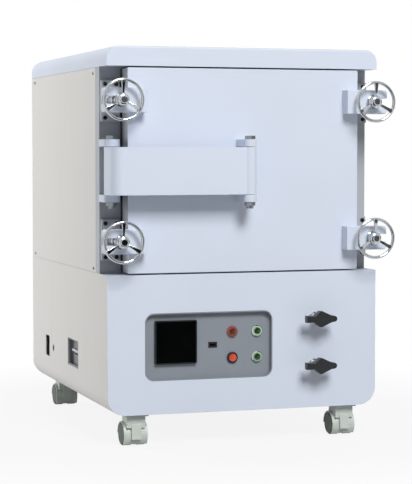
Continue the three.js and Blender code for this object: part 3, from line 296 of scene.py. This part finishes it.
def make_finishes():
    """Every finish of the furnace, by the name that the pieces ask for it by."""
    tones = colours()
    plated = {"Metallic": 1.0}
    # After its colour, each grained finish gives the spread of its tone, the widths of its clouds
    # and of its grain and the depth of its relief in millimetres, and its range of roughness.
    # Real grain on moulded, plated and brushed surfaces is finer than half a millimetre. It is
    # drawn 1 to 3 mm wide, because a finer one would vanish at the distance of the camera.
    return {
        # Polyester powder coat, cool light grey: satin and even. Its orange peel is 1.5 mm wide
        # and is drawn 6 mm wide, so that it still breaks the sheen at this distance.
        "light_paint": grained("powder_coat_cool_grey", tones.light_paint, 0.012, 160, 6, 0.05,
                               (0.4, 0.5)),
        # The same coat on rolled side sheets: warmer and duller, with faint upright streaks.
        "warm_paint": grained("powder_coat_warm_grey", tones.warm_paint, 0.008, 20, 6, 0.03,
                              (0.46, 0.56), (1, 1, 0.05)),
        # Fine textured coat of the tray: matt, so that it reads as a darker, softer face. Its
        # half-millimetre grit is drawn 2 mm wide.
        "tray_paint": grained("textured_coat_grey", tones.tray_paint, 0.02, 60, 2, 0.08,
                              (0.55, 0.66)),
        # Enamel brushed on the machined flange, also used on the keepers and the door's sides: satin,
        # with soft laps of the brush. Its grey, darker than the front's paint, is partly painted shade
        # of the recess behind the door.
        "flange_paint": grained("grey_enamel_with_painted_shade", tones.flange_paint, 0.03, 40, 5, 0.05,
                                (0.36, 0.46), (1, 1, 0.4)),
        # Brushed stainless sheet: long level streaks in the sheen.
        "steel": grained("brushed_stainless", linear("B9BCBE"), 0.06, 8, 2, 0.02, (0.24, 0.36),
                         (0.05, 1, 1), **plated),
        # Bright chrome on turned steel: a sharp mirror with a faint haze and no visible grain.
        "chrome": grained("bright_chrome_plate", tones.chrome, 0.02, 30, 12, 0.01, (0.06, 0.1),
                          **plated),
        # Black chrome of the ring round the heating button: a dark mirror.
        "dark_ring": grained("black_chrome_plate", linear("4A4C50"), 0.03, 8, 3, 0.01,
                             (0.16, 0.22), **plated),
        # Zinc plate on bolts and washers: duller and cloudier than chrome.
        "zinc": grained("zinc_plate", linear("93989C"), 0.08, 7, 3, 0.02, (0.28, 0.4), **plated),
        # Black oxide on socket screws: dark, slightly oily steel.
        "black_oxide": grained("black_oxide_steel", linear("2E3033"), 0.1, 6, 2, 0.02,
                               (0.36, 0.48), **plated),
        # Glass-filled nylon of knobs and levers: nearly black, with a soft sheen on its grain.
        "black_plastic": grained("moulded_black_nylon", linear("1E2125"), 0.06, 12, 1.5, 0.05,
                                 (0.26, 0.36)),
        # Moulded polyamide of the breaker's lever: pale and semi-matt.
        "pale_plastic": grained("moulded_pale_polyamide", linear("D3D6D8"), 0.02, 14, 1.5, 0.04,
                                (0.36, 0.46), IOR=1.53),
        # The same polyamide of the breaker's body, in grey.
        "grey_plastic": grained("moulded_grey_polyamide", linear("8C8D92"), 0.03, 14, 1.5, 0.04,
                                (0.4, 0.5), IOR=1.53),
        # Smoked acrylic over a display that is off: black and glossy, with a faint haze.
        "screen": grained("smoked_acrylic", linear("050606"), 0.25, 25, 9, 0.005, (0.05, 0.09),
                          IOR=1.49),
        # Dyed polycarbonate of the buttons: clear and glossy over its prisms. The heating button
        # is lit and the green ones glow faintly; the darker middles are where a lamp is off.
        "red_lens": lens("red_polycarbonate_lens", tones.red_lens, 0.0),
        "red_core": lens("dark_red_polycarbonate_lens", linear("513421"), 0.0),
        "orange_lens": lens("lit_orange_polycarbonate_lens", tones.orange_lens, 0.3),
        "green_lens": lens("green_polycarbonate_lens", tones.green_lens, 0.1),
        "green_core": lens("dark_green_polycarbonate_lens", linear("143E10"), 0.0),
        # Alumina-silica fibre board of the muffle: chalk white, soft, with lumps and threads.
        "fibre": grained("vacuum_formed_fibre_board", linear("ECE8DF"), 0.06, 14, 3.5, 0.5,
                         (0.92, 0.98)),
        # Fired cordierite hearth plate: cream, sandy and matt.
        "hearth": grained("fired_cordierite", linear("DACDB4"), 0.06, 9, 1.6, 0.15, (0.88, 0.96)),
        # Resistance wire with its oxide from firing: dark brown grey and scaly.
        "wire": grained("oxidised_resistance_wire", linear("5A524C"), 0.2, 5, 1.1, 0.05,
                        (0.55, 0.72), **plated),
        # Silicone cord in the door's groove: off-white rubber with a dull skin.
        "seal": grained("silicone_rubber", linear("C9CBC9"), 0.03, 20, 2, 0.03, (0.45, 0.56)),
        # Black, dull band round the rear of the door's sides, drawn as a neoprene lip: it is painted
        # shade of the gap between the door and the flange.
        "lip_gap_shade": grained("black_lip_painted_gap_shade", linear("1B1D1F"), 0.05, 20, 2, 0.03, (0.6, 0.72)),
        # Nylon caster hoods, moulded in a green grey: semi-matt.
        "nylon": grained("moulded_caster_nylon", tones.nylon, 0.03, 15, 2, 0.05, (0.4, 0.5),
                         IOR=1.53),
        # Upper half of the caster's fork, the neck over the hood: the same nylon, made darker as
        # painted shade under the cabinet.
        "neck_painted_shade": grained("caster_nylon_painted_shade", linear("7C857E"), 0.03, 15, 2, 0.05,
                        (0.4, 0.5), IOR=1.53),
        # Polyurethane caster wheels, with the fine lines of the mould: their dark grey is partly
        # painted shade of the wheels under the cabinet.
        "tread_with_shade": grained("polyurethane_tread_with_painted_shade", tones.tread_with_shade, 0.05, 9, 1.5, 0.06,
                         (0.5, 0.62)),
    }


FINISHES = {}


def finish(piece, name):
    """Covers a piece with one finish."""
    piece.data.materials.clear()
    piece.data.materials.append(FINISHES[name])


# Modelling


def clear_selection():
    """Leaves edit mode, with nothing selected."""
    if bpy.context.mode != "OBJECT":
        bpy.ops.object.mode_set(mode="OBJECT")
    bpy.ops.object.select_all(action="DESELECT")


def take(piece):
    """Makes one piece the only one that an operator acts on."""
    clear_selection()
    piece.select_set(True)
    bpy.context.view_layer.objects.active = piece


def pick(piece, test, kind="FACE"):
    """Opens a piece in edit mode with the faces or edges selected that pass a test, and counts
    them."""
    take(piece)
    bpy.ops.object.mode_set(mode="EDIT")
    bpy.ops.mesh.select_mode(type=kind)
    bpy.ops.mesh.select_all(action="DESELECT")
    mesh = bmesh.from_edit_mesh(piece.data)
    mesh.normal_update()
    chosen = [item for item in (mesh.faces if kind == "FACE" else mesh.edges) if test(item)]
    for item in chosen:
        item.select_set(True)
    bmesh.update_edit_mesh(piece.data)
    return len(chosen)


def middle(edge):
    return (edge.verts[0].co + edge.verts[1].co) / 2


def is_sharp(edge):
    return len(edge.link_faces) == 2 and edge.calc_face_angle(0.0) > SHARP


def primitive(kind, name, **settings):
    """Adds a primitive at its size and place, with its place in its mesh."""
    clear_selection()
    getattr(bpy.ops.mesh, f"primitive_{kind}_add")(**settings)
    piece = bpy.context.active_object
    piece.name = piece.data.name = name
    bpy.ops.object.transform_apply(location=True, rotation=True, scale=True)
    return piece


def block(name, low, high):
    """Cube between two corners."""
    low, high = Vector(low), Vector(high)
    return primitive("cube", name, size=1, location=(low + high) / 2, scale=high - low)


def barrel(name, radius, height, vertices=48):
    """Cylinder that stands on the origin."""
    return primitive("cylinder", name, vertices=vertices, radius=radius, depth=height,
                     location=(0, 0, height / 2))


def round_edges(piece, width, test=is_sharp, segments=3):
    """Rounds the chosen edges."""
    if pick(piece, test, "EDGE"):
        bpy.ops.mesh.bevel(offset_type="OFFSET", offset=width, segments=segments, profile=0.5,
                           affect="EDGES", clamp_overlap=True)
    clear_selection()
    return piece


def smooth(piece, degrees=40):
    """Smooth curves that stay crisp at the edges, with flat faces kept flat."""
    take(piece)
    bpy.ops.object.shade_smooth_by_angle(angle=math.radians(degrees))
    modifier = piece.modifiers.new("weighted_normal", "WEIGHTED_NORMAL")
    modifier.keep_sharp, modifier.weight = True, FLAT_WEIGHT
    bpy.ops.object.modifier_apply(modifier=modifier.name)
    return piece


def join(name, pieces):
    """Joins pieces into the first one, which takes the name."""
    clear_selection()
    for piece in pieces:
        piece.select_set(True)
    bpy.context.view_layer.objects.active = pieces[0]
    bpy.ops.object.join()
    pieces[0].name = pieces[0].data.name = name
    return pieces[0]


def outward(piece):
    """Turns every face of a closed piece outwards."""
    pick(piece, lambda face: True)
    bpy.ops.mesh.normals_make_consistent(inside=False)
    clear_selection()
    return piece


def copied(piece, name, place, along=None):
    """Copy with its own mesh at a place; along is where the model's own +Z then points."""
    twin = bpy.data.objects.new(name, piece.data.copy())
    twin.data.name = name
    bpy.context.scene.collection.objects.link(twin)
    turn = Vector((0, 0, 1)).rotation_difference(Vector(along or (0, 0, 1)))
    twin.data.transform(Matrix.Translation(place) @ turn.to_matrix().to_4x4())
    return twin


def patch(piece, name, test):
    """Gives another finish to the faces whose middle and normal pass a test."""
    piece.data.materials.append(FINISHES[name])
    index = len(piece.data.materials) - 1
    for face in piece.data.polygons:
        if test(face.center, face.normal):
            face.material_index = index


def merged(node):
    """Closed copy of a solid, with its loose triangles merged into whole faces."""
    name = f"{node}_surface"
    piece = bpy.data.objects.new(name, frame["nodes"][node].data.copy())
    piece.data.name = name
    bpy.context.scene.collection.objects.link(piece)
    take(piece)
    if piece.data.has_custom_normals:
        bpy.ops.mesh.customdata_custom_splitnormals_clear()
    pick(piece, lambda face: True)
    bpy.ops.mesh.remove_doubles(threshold=WELD)
    bpy.ops.mesh.dissolve_limited(angle_limit=FLAT)
    clear_selection()
    return piece


def body_of(node):
    return frame["nodes"][node]["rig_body"]


def fitted(piece, body, surface, nodes=(), degrees=40):
    """Smooths and finishes a piece, and lets it ride on a body and stand for its solids."""
    smooth(piece, degrees)
    finish(piece, surface)
    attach(piece, body)
    if nodes:
        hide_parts(*nodes)
    return piece


def dressed(node, surface, edge=None, test=is_sharp, segments=2, degrees=40):
    """Surface of a solid with its edges rounded, which stands for the solid."""
    piece = merged(node)
    if edge:
        round_edges(piece, edge, test, segments)
    return fitted(piece, body_of(node), surface, [node], degrees)


def coat(node, surface):
    """Finish for a solid that stays as it is."""
    finish(frame["nodes"][node], surface)


def front_edge(node):
    """Test for the sharp edges at the front of a solid."""
    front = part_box(node)[0].y
    return lambda edge: is_sharp(edge) and middle(edge).y < front + MM


def level_edge(node):
    """Test for the sharp edges round the upper and lower faces of a solid."""
    low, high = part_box(node)
    return lambda edge: (is_sharp(edge) and abs((edge.verts[0].co - edge.verts[1].co).z) < LEVEL
                         and (middle(edge).z < low.z + NEAR or middle(edge).z > high.z - NEAR))


def middle_of(node):
    low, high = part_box(node)
    return (low + high) / 2


def screw(head):
    """Screw head on the origin with a hexagon socket, to be copied; +Z is its outer side."""
    top = head * HEAD_SHARE
    piece = barrel("screw", head, top, 24)
    pick(piece, lambda face: face.normal.z > FACING)
    bpy.ops.mesh.inset(thickness=head * RIM_SHARE)
    bpy.ops.mesh.extrude_region_move(TRANSFORM_OT_translate={"value": (0, 0, -top / 2)})
    clear_selection()
    return round_edges(piece, head * RIM_SHARE / 3,
                       lambda edge: is_sharp(edge) and middle(edge).z > top * OUTER
                       and middle(edge).xy.length > head * OUTER, 2)


def turned(name, profile):
    """Round piece on the Y axis, drawn out from a disc by the radii and places of its profile."""
    radius, at = profile[0]
    piece = primitive("circle", name, vertices=56, radius=radius, fill_type="NGON",
                      location=(0, at, 0), rotation=ROUND_Y)
    pick(piece, lambda face: True)
    for wider, further in profile[1:]:
        bpy.ops.mesh.extrude_region_move(TRANSFORM_OT_translate={"value": (0, further - at, 0)})
        bpy.ops.transform.resize(value=(wider / radius,) * 3, center_override=(0, further, 0))
        radius, at = wider, further
    return outward(piece)


# Steps that make the pieces


class FURNACE_OT_finishes(bpy.types.Operator):
    """Makes the paints, metals, plastics and ceramics"""
    bl_idname = "furnace.finishes"
    bl_label = "Finishes"

    def execute(self, context):
        FINISHES.update(make_finishes())
        return {"FINISHED"}


class FURNACE_OT_cabinet(bpy.types.Operator):
    """Painted sheets of the cabinet, with rolled edges"""
    bl_idname = "furnace.cabinet"
    bl_label = "Cabinet sheets"

    def execute(self, context):
        edge = sizes().sheet_edge
        base = dressed("base_cabinet", "warm_paint")
        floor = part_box("front_panel")[0].z
        patch(base, "zinc", lambda place, normal: place.z < floor - MM)
        dressed("front_panel", "light_paint", edge, front_edge("front_panel"))
        dressed("deck_plate", "light_paint")
        for node in ("side_cover_left", "side_cover_right", "rear_cover"):
            dressed(node, "warm_paint", edge)
        dressed("top_cover", "light_paint")
        return {"FINISHED"}


class FURNACE_OT_cover_screws(bpy.types.Operator):
    """Screws at the corners of both side covers"""
    bl_idname = "furnace.cover_screws"
    bl_label = "Cover screws"

    def execute(self, context):
        model = screw(COVER_SCREW)
        for side, tag in ((-1, "left"), (1, "right")):
            low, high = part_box(f"side_cover_{tag}")
            outer = low.x if side < 0 else high.x
            screws = [copied(model, "cover_screw", (outer, y, z), (side, 0, 0))
                      for y in (low.y + COVER_SCREW_ENDS[0], high.y - COVER_SCREW_ENDS[1])
                      for z in (low.z + COVER_SCREW_HEIGHTS[0], high.z - COVER_SCREW_HEIGHTS[1])]
            fitted(join(f"cover_screws_{tag}", screws), "cabinet", "zinc")
        bpy.data.objects.remove(model)
        return {"FINISHED"}


class FURNACE_OT_control_tray(bpy.types.Operator):
    """Recessed tray with its screen, its socket and the rings of its buttons"""
    bl_idname = "furnace.control_tray"
    bl_label = "Control tray"

    def execute(self, context):
        tray = dressed("control_panel", "tray_paint")
        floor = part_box("control_panel")[0].y + RECESS
        for name in BUTTONS:
            centre = middle_of(f"{name}_button")
            patch(tray, RING_OF.get(name, "chrome"), lambda place, normal:
                  (place.xz - centre.xz).length < RING and place.y < floor - RING_PROUD)
        screen = merged("controller")
        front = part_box("controller")[0].y
        pick(screen, lambda face: face.normal.y < -FACING
             and face.calc_center_median().y < front + MM)
        bpy.ops.mesh.inset(thickness=BEZEL)
        bpy.ops.mesh.extrude_region_move(TRANSFORM_OT_translate={"value": (0, MM, 0)})
        clear_selection()
        fitted(screen, "cabinet", "black_plastic", ["controller"])
        patch(screen, "screen", lambda place, normal: normal.y < -FACING
              and abs(place.y - front - MM) < NEAR)
        dressed("usb_socket", "black_plastic", SOCKET_EDGE)
        model, socket = screw(USB_SCREW), middle_of("usb_socket")
        pins = [copied(model, "usb_screw", (socket.x + side * USB_SCREW_REACH, floor, socket.z),
                       (0, -1, 0)) for side in (-1, 1)]
        bpy.data.objects.remove(model)
        fitted(join("usb_screws", pins), "cabinet", "black_oxide")
        return {"FINISHED"}


class FURNACE_OT_buttons(bpy.types.Operator):
    """Push buttons: domed lenses in collars, which travel in their rings"""
    bl_idname = "furnace.buttons"
    bl_label = "Push buttons"

    def execute(self, context):
        low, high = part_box("stop_button")
        radius, depth = (high.x - low.x) / 2, high.y - low.y
        model = self.one_button(radius, depth)
        for name in BUTTONS:
            low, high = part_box(f"{name}_button")
            centre = Vector(((low.x + high.x) / 2, high.y, (low.z + high.z) / 2))
            cap = copied(model, f"{name}_button_cap", centre, (0, -1, 0))
            fitted(cap, f"{name}_cap", "chrome",
                   [f"{name}_button"])
            for surface, share in zip(BANDS_OF.get(name, GREEN_BANDS), BAND_SHARES):
                patch(cap, surface, lambda place, normal: place.y < low.y + LENS_DEPTH
                      and (place.xz - centre.xz).length < radius * share)
        bpy.data.objects.remove(model)
        return {"FINISHED"}

    def one_button(self, radius, depth):
        """Button on the origin: a collar round a lens that steps up to a low dome."""
        cap = barrel("button", radius, depth - MM)
        pick(cap, lambda face: face.normal.z > FACING)
        bpy.ops.mesh.inset(thickness=COLLAR)
        bpy.ops.mesh.extrude_region_move(TRANSFORM_OT_translate={"value": (0, 0, -COLLAR_STEP)})
        bpy.ops.mesh.inset(thickness=LENS_GAP)
        bpy.ops.mesh.extrude_region_move(TRANSFORM_OT_translate={"value": (0, 0, LENS_RISE)})
        for step in (1, 2, 3):
            bpy.ops.mesh.inset(thickness=radius * DOME_STEP, depth=DOME_RISE / step)
        clear_selection()
        return cap


class FURNACE_OT_valves(bpy.types.Operator):
    """Gas valves and their pointer handles"""
    bl_idname = "furnace.valves"
    bl_label = "Gas valves"

    def execute(self, context):
        dressed("gas_valves", "steel")
        for place in ("upper", "lower"):
            dressed(f"{place}_valve_handle", "black_plastic", KNOB_EDGE)
        return {"FINISHED"}


class FURNACE_OT_breaker(bpy.types.Operator):
    """Circuit breaker in its window, with its lever"""
    bl_idname = "furnace.breaker"
    bl_label = "Circuit breaker"

    def execute(self, context):
        dressed("circuit_breaker", "grey_plastic", BREAKER_EDGE)
        dressed("breaker_lever", "pale_plastic", BREAKER_EDGE)
        return {"FINISHED"}


class FURNACE_OT_flange(bpy.types.Operator):
    """Flange behind the door with its seal and the four keepers"""
    bl_idname = "furnace.flange"
    bl_label = "Flange and keepers"

    def execute(self, context):
        edge = sizes().plate_edge
        model = screw(KEEPER_SCREW)
        # The flange and the keepers take a grey that is partly painted shade of the recess behind the
        # door.
        dressed("front_flange", "flange_paint")
        dressed("door_seal", "seal", degrees=60)
        for corner in CORNERS:
            node = f"clamp_keeper_{corner}"
            dressed(node, "flange_paint", edge, front_edge(node), 3)
            wheel = middle_of(f"handwheel_{corner}")
            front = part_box(node)[0].y
            screws = [copied(model, "keeper_screw", (wheel.x + side, front, wheel.z + rise),
                             (0, -1, 0))
                      for side in (-KEEPER_SCREW_REACH[0], KEEPER_SCREW_REACH[0])
                      for rise in (-KEEPER_SCREW_REACH[1], KEEPER_SCREW_REACH[1])]
            fitted(join(f"keeper_screws_{corner}", screws), "cabinet", "black_oxide")
        bpy.data.objects.remove(model)
        return {"FINISHED"}


class FURNACE_OT_hinges(bpy.types.Operator):
    """Brackets, ears and bolts that the arm and the door turn on"""
    bl_idname = "furnace.hinges"
    bl_label = "Hinges"

    def execute(self, context):
        for node in ("hinge_bracket_lower", "hinge_bracket_upper", "door_ear_lower",
                     "door_ear_upper"):
            dressed(node, "light_paint", sizes().plate_edge, level_edge(node), 3)
        for node in ("arm_hinge_bolt", "door_hinge_bolt"):
            dressed(node, "zinc", BOLT_EDGE)
        return {"FINISHED"}


class FURNACE_OT_arm(bpy.types.Operator):
    """Swing arm that carries the door"""
    bl_idname = "furnace.arm"
    bl_label = "Swing arm"

    def execute(self, context):
        dressed("swing_arm", "light_paint", ARM_EDGE, level_edge("swing_arm"), 3)
        return {"FINISHED"}


class FURNACE_OT_door(bpy.types.Operator):
    """Door with its rounded shell, its rear plate, its fibre plug and its lugs"""
    bl_idname = "furnace.door"
    bl_label = "Door"

    def execute(self, context):
        door = merged("door_shell")
        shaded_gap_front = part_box("door_shell")[1].y - SHADED_GAP_DEPTH
        round_edges(door, sizes().sheet_edge, front_edge("door_shell"))
        pick(door, lambda face: True)
        bpy.ops.mesh.bisect(plane_co=(0, shaded_gap_front, 0), plane_no=(0, 1, 0))
        clear_selection()
        fitted(door, body_of("door_shell"), "light_paint", ["door_shell"])
        # Painted shade: the door's sides get the flange's darker grey, for the shade they sit in beside
        # the flange.
        patch(door, "flange_paint", lambda place, normal: abs(normal.x) > FACING)
        # Painted shade: the rear of the door's sides turns black, for the shaded gap between the door
        # and the flange.
        patch(door, "lip_gap_shade", lambda place, normal: place.y > shaded_gap_front and abs(normal.y) < SIDEWAYS)
        dressed("door_plate", "steel", MM)
        dressed("door_plug", "fibre", PLUG_EDGE)
        for corner in CORNERS:
            dressed(f"door_lug_{corner}", "light_paint", sizes().plate_edge)
        return {"FINISHED"}


class FURNACE_OT_handwheels(bpy.types.Operator):
    """Chromed handwheels with three spokes, each on its clamp screw"""
    bl_idname = "furnace.handwheels"
    bl_label = "Handwheels"

    def execute(self, context):
        model = self.one_wheel()
        for corner in CORNERS:
            node = f"handwheel_{corner}"
            wheel = copied(model, f"{node}_chromed", middle_of(node) * Vector((1, 0, 1)))
            finish(wheel, "chrome")
            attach(wheel, f"clamp_{corner}")
            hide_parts(node)
        bpy.data.objects.remove(model)
        return {"FINISHED"}

    def one_wheel(self):
        """Handwheel on the Y axis; its places along the axis follow the solid's front."""
        low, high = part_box("handwheel_upper_left")
        front, tube = low.y, sizes().rim_tube
        reach = (high.x - low.x) / 2 - tube
        plane = front + RIM_PLANE
        rim = primitive("torus", "rim", major_segments=96, minor_segments=20, major_radius=reach,
                        minor_radius=tube, location=(0, plane, 0), rotation=ROUND_Y)
        spindle, hub = (turned(name, [(radius * MM, front + at * MM) for radius, at in profile])
                        for name, profile in (("spindle", SPINDLE), ("hub", HUB)))
        spokes = [self.spoke(turn, reach, plane) for turn in range(3)]
        return smooth(join("handwheel", [rim, spindle, hub] + spokes), 36)

    def spoke(self, turn, reach, plane):
        """Flat forged spoke that widens towards the rim and leans back to the hub."""
        piece = block("spoke", (-sizes().spoke_root, plane - SPOKE_HALF, SPOKE_START),
                      (sizes().spoke_root, plane + SPOKE_HALF, reach))
        pick(piece, lambda face: True)
        bpy.ops.mesh.subdivide(number_cuts=5)
        for vertex in bmesh.from_edit_mesh(piece.data).verts:
            share = (vertex.co.z - SPOKE_START) / (reach - SPOKE_START)
            grow = 1 + share ** 2 * (sizes().spoke_tip / sizes().spoke_root - 1)
            vertex.co.x *= grow
            vertex.co.y += SPOKE_LEAN * (1 - share) ** 2 - SPOKE_BOW * math.sin(share * math.pi / 2)
        bmesh.update_edit_mesh(piece.data)
        clear_selection()
        round_edges(piece, SPOKE_EDGE, segments=4)
        piece.data.transform(Matrix.Rotation(turn * math.tau / 3, 4, "Y"))
        return piece


class FURNACE_OT_casters(bpy.types.Operator):
    """Twin-wheel casters with hoods and brake pedals"""
    bl_idname = "furnace.casters"
    bl_label = "Casters"

    def execute(self, context):
        for place in WHEEL_PLACES:
            hood = dressed(f"caster_fork_{place}", "nylon", MM)
            top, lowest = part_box(f"caster_fork_{place}")[1].z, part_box(f"caster_wheels_{place}")[1].z
            # Painted shade: the upper half of the fork, under the cabinet, is darker.
            patch(hood, "neck_painted_shade", lambda spot, normal: spot.z > (top + lowest) / 2)
            # The wheels' dark grey is partly painted shade.
            dressed(f"caster_wheels_{place}", "tread_with_shade")
        return {"FINISHED"}


class FURNACE_OT_inside(bpy.types.Operator):
    """Chamber, muffle, heating wires, hearth, probe, frame and transformer"""
    bl_idname = "furnace.inside"
    bl_label = "Inside"

    def execute(self, context):
        for node, surface in (("vacuum_chamber", "steel"), ("chassis_frame", "warm_paint"),
                              ("transformer", "black_oxide"), ("thermocouple", "steel")):
            coat(node, surface)
        for node in ("chamber_insulation", "mouth_lining"):
            dressed(node, "fibre")
        dressed("heating_elements", "wire", degrees=60)
        dressed("hearth_plate", "hearth", MM)
        dressed("vacuum_port", "steel", PORT_EDGE)
        return {"FINISHED"}


# Stage


class FURNACE_OT_stage(bpy.types.Operator):
    """Pale floor, soft light from above the front, and the camera"""
    bl_idname = "furnace.stage"
    bl_label = "Stage"

    def execute(self, context):
        scene = context.scene
        scene.view_settings.view_transform = "Standard"
        floor = primitive("plane", "floor", size=60, location=(0, 0, 0))
        floor.data.materials.append(self.floor_finish())
        self.world(scene)
        # Place, target, watts and width; only the key leaves a highlight
        lamp("key", (0.2, -5.8, 5.1), (0, -0.3, 0.5), 438, 2.6)
        lamp("left", (-3.2, 2.9, 1.7), (0, 0, 0.35), 139, 2.4, mirrored=False)
        lamp("right", (3.2, 2.9, 1.7), (0, 0, 0.35), 90, 2.4, mirrored=False)
        # Cloths that give the chrome its dark sides: place, tilt and heading, width and height
        flag("hub_flag", (0.6, -2, 0.66), (90, 0), (1.3, 0.5), "5A5E62")
        flag("low_flag", (0, -1.9, 0.205), (90, 0), (3, 0.41), "1B1E1E")
        flag("floor_flag", (0, -1.5, 0.01), (0, 0), (4, 1.6), "2A2C2E")
        flag("left_flag", (-2, 0.6, 0.8), (90, 85), (4.6, 1.2))
        flag("right_flag", (2.6, -0.9, 0.8), (90, 105), (2, 1.4))
        camera = bpy.data.objects.new("camera", bpy.data.cameras.new("camera"))
        scene.collection.objects.link(camera)
        camera.location = CAMERA_PLACE
        camera.rotation_euler = (math.radians(90 - CAMERA_DIP), 0, -math.radians(CAMERA_HEADING))
        camera.data.sensor_width, camera.data.lens = CAMERA_SENSOR, CAMERA_LENS
        scene.camera = camera
        return {"FINISHED"}

    def floor_finish(self):
        """White paper that keeps the soft shadow near the furnace and fades to plain white."""
        material, tree = empty_material("white_paper")
        place = add_node(tree, "ShaderNodeTexCoord").outputs["Object"]
        fibres = add_node(tree, "ShaderNodeTexNoise", {"Vector": place, "Scale": PAPER_CLOUDS})
        tone = add_node(tree, "ShaderNodeMix", {
            MIX_SHARE: fibres.outputs["Fac"], MIX_FIRST: linear("B8B8B8"),
            MIX_SECOND: linear("BCBCBC")}, data_type="RGBA")
        paper = add_node(tree, "ShaderNodeBsdfDiffuse", {"Color": tone.outputs[MIX_RESULT]})
        glow = add_node(tree, "ShaderNodeEmission", {"Color": linear("FFFFFF"), "Strength": 1.0})
        reach = add_node(tree, "ShaderNodeVectorMath", {0: place}, operation="LENGTH")
        white = add_node(tree, "ShaderNodeMapRange", {
            "Value": reach.outputs["Value"], "From Min": PAPER_FADE[0], "From Max": PAPER_FADE[1],
            "To Min": FLOOR_WHITE, "To Max": 1.0}, interpolation_type="SMOOTHSTEP")
        share = add_node(tree, "ShaderNodeMath", {0: seen_directly(tree), 1: white.outputs[0]},
                         operation="MULTIPLY")
        mix = add_node(tree, "ShaderNodeMixShader", {
            0: share.outputs[0], 1: paper.outputs[0], 2: glow.outputs[0]})
        add_node(tree, "ShaderNodeOutputMaterial", {"Surface": mix.outputs[0]})
        return material

    def world(self, scene):
        """Soft grey-white surround that lights the object, and looks white behind it."""
        scene.world = scene.world or bpy.data.worlds.new("studio")
        scene.world.use_nodes = True
        tree = scene.world.node_tree
        tree.nodes.clear()
        light = add_node(tree, "ShaderNodeBackground", {"Color": linear("F3F6FA"),
                                                        "Strength": ROOM_LIGHT})
        white = add_node(tree, "ShaderNodeBackground", {"Color": linear("FFFFFF"),
                                                        "Strength": 1.0})
        mix = add_node(tree, "ShaderNodeMixShader", {
            0: seen_directly(tree), 1: light.outputs[0], 2: white.outputs[0]})
        add_node(tree, "ShaderNodeOutputWorld", {"Surface": mix.outputs[0]})


def seen_directly(tree):
    """1 for a ray from the camera, somewhat less in a mirror or glass, 0 for a lighting ray."""
    path = add_node(tree, "ShaderNodeLightPath")
    mirrored = add_node(tree, "ShaderNodeMath", {
        0: path.outputs["Is Glossy Ray"], 1: path.outputs["Is Transmission Ray"]},
        operation="MAXIMUM")
    dimmed = add_node(tree, "ShaderNodeMath", {0: mirrored.outputs[0], 1: MIRRORED_WHITE},
                      operation="MULTIPLY")
    return add_node(tree, "ShaderNodeMath", {
        0: path.outputs["Is Camera Ray"], 1: dimmed.outputs[0]}, operation="MAXIMUM").outputs[0]


def lamp(name, place, target, power, size, mirrored=True):
    """Square area lamp in watts and metres, which may leave no highlight of its own."""
    light = bpy.data.objects.new(name, bpy.data.lights.new(name, "AREA"))
    light.data.energy, light.data.size = power, size
    light.visible_glossy = mirrored
    light.location = place
    light.rotation_euler = (Vector(target) - Vector(place)).to_track_quat("-Z", "Y").to_euler()
    bpy.context.scene.collection.objects.link(light)


def flag(name, place, turn, spans, tone="101214"):
    """Dark cloth that only polished surfaces see; its turn is its tilt and its heading."""
    material, tree = empty_material(f"{name}_cloth")
    # Felt on a frame: one even dark tone, with a trace of its nap.
    woven = add_node(tree, "ShaderNodeTexCoord").outputs["Object"]
    nap = add_node(tree, "ShaderNodeTexNoise", {"Vector": woven, "Scale": 1 / NAP})
    mixed = add_node(tree, "ShaderNodeMix", {
        MIX_SHARE: nap.outputs["Fac"], MIX_FIRST: toned(linear(tone), -NAP_SPREAD),
        MIX_SECOND: toned(linear(tone), NAP_SPREAD)}, data_type="RGBA")
    surface = add_node(tree, "ShaderNodeEmission", {"Color": mixed.outputs[MIX_RESULT]})
    add_node(tree, "ShaderNodeOutputMaterial", {"Surface": surface.outputs[0]})
    cloth = primitive("plane", name, size=1, location=place,
                      rotation=(math.radians(turn[0]), 0, math.radians(turn[1])),
                      scale=(*spans, 1))
    cloth.data.materials.append(material)
    cloth.visible_camera = cloth.visible_diffuse = cloth.visible_shadow = False


# Panel and start


STEPS = (FURNACE_OT_finishes, FURNACE_OT_cabinet, FURNACE_OT_cover_screws,
         FURNACE_OT_control_tray, FURNACE_OT_buttons, FURNACE_OT_valves, FURNACE_OT_breaker,
         FURNACE_OT_flange, FURNACE_OT_hinges, FURNACE_OT_arm, FURNACE_OT_door,
         FURNACE_OT_handwheels, FURNACE_OT_casters, FURNACE_OT_inside, FURNACE_OT_stage)


class FURNACE_PT_panel(bpy.types.Panel):
    """Sizes, colours and steps of the furnace"""
    bl_idname = "FURNACE_PT_panel"
    bl_label = "Vacuum muffle furnace"
    bl_space_type = "VIEW_3D"
    bl_region_type = "UI"
    bl_category = "Furnace"

    def draw(self, context):
        for group in (context.scene.furnace_sizes, context.scene.furnace_colours):
            column = self.layout.column()
            for name in group.__annotations__:
                column.prop(group, name)
        for step in STEPS:
            self.layout.operator(step.bl_idname)


CLASSES = (FurnaceColours, FurnaceSizes) + STEPS + (FURNACE_PT_panel,)


def register():
    for item in CLASSES:
        bpy.utils.register_class(item)
    bpy.types.Scene.furnace_sizes = bpy.props.PointerProperty(type=FurnaceSizes)
    bpy.types.Scene.furnace_colours = bpy.props.PointerProperty(type=FurnaceColours)


def unregister():
    del bpy.types.Scene.furnace_colours
    del bpy.types.Scene.furnace_sizes
    for item in reversed(CLASSES):
        bpy.utils.unregister_class(item)


def main():
    register()
    for step in STEPS:
        group, name = step.bl_idname.split(".")
        getattr(getattr(bpy.ops, group), name)()


if __name__ == "__main__":
    main()
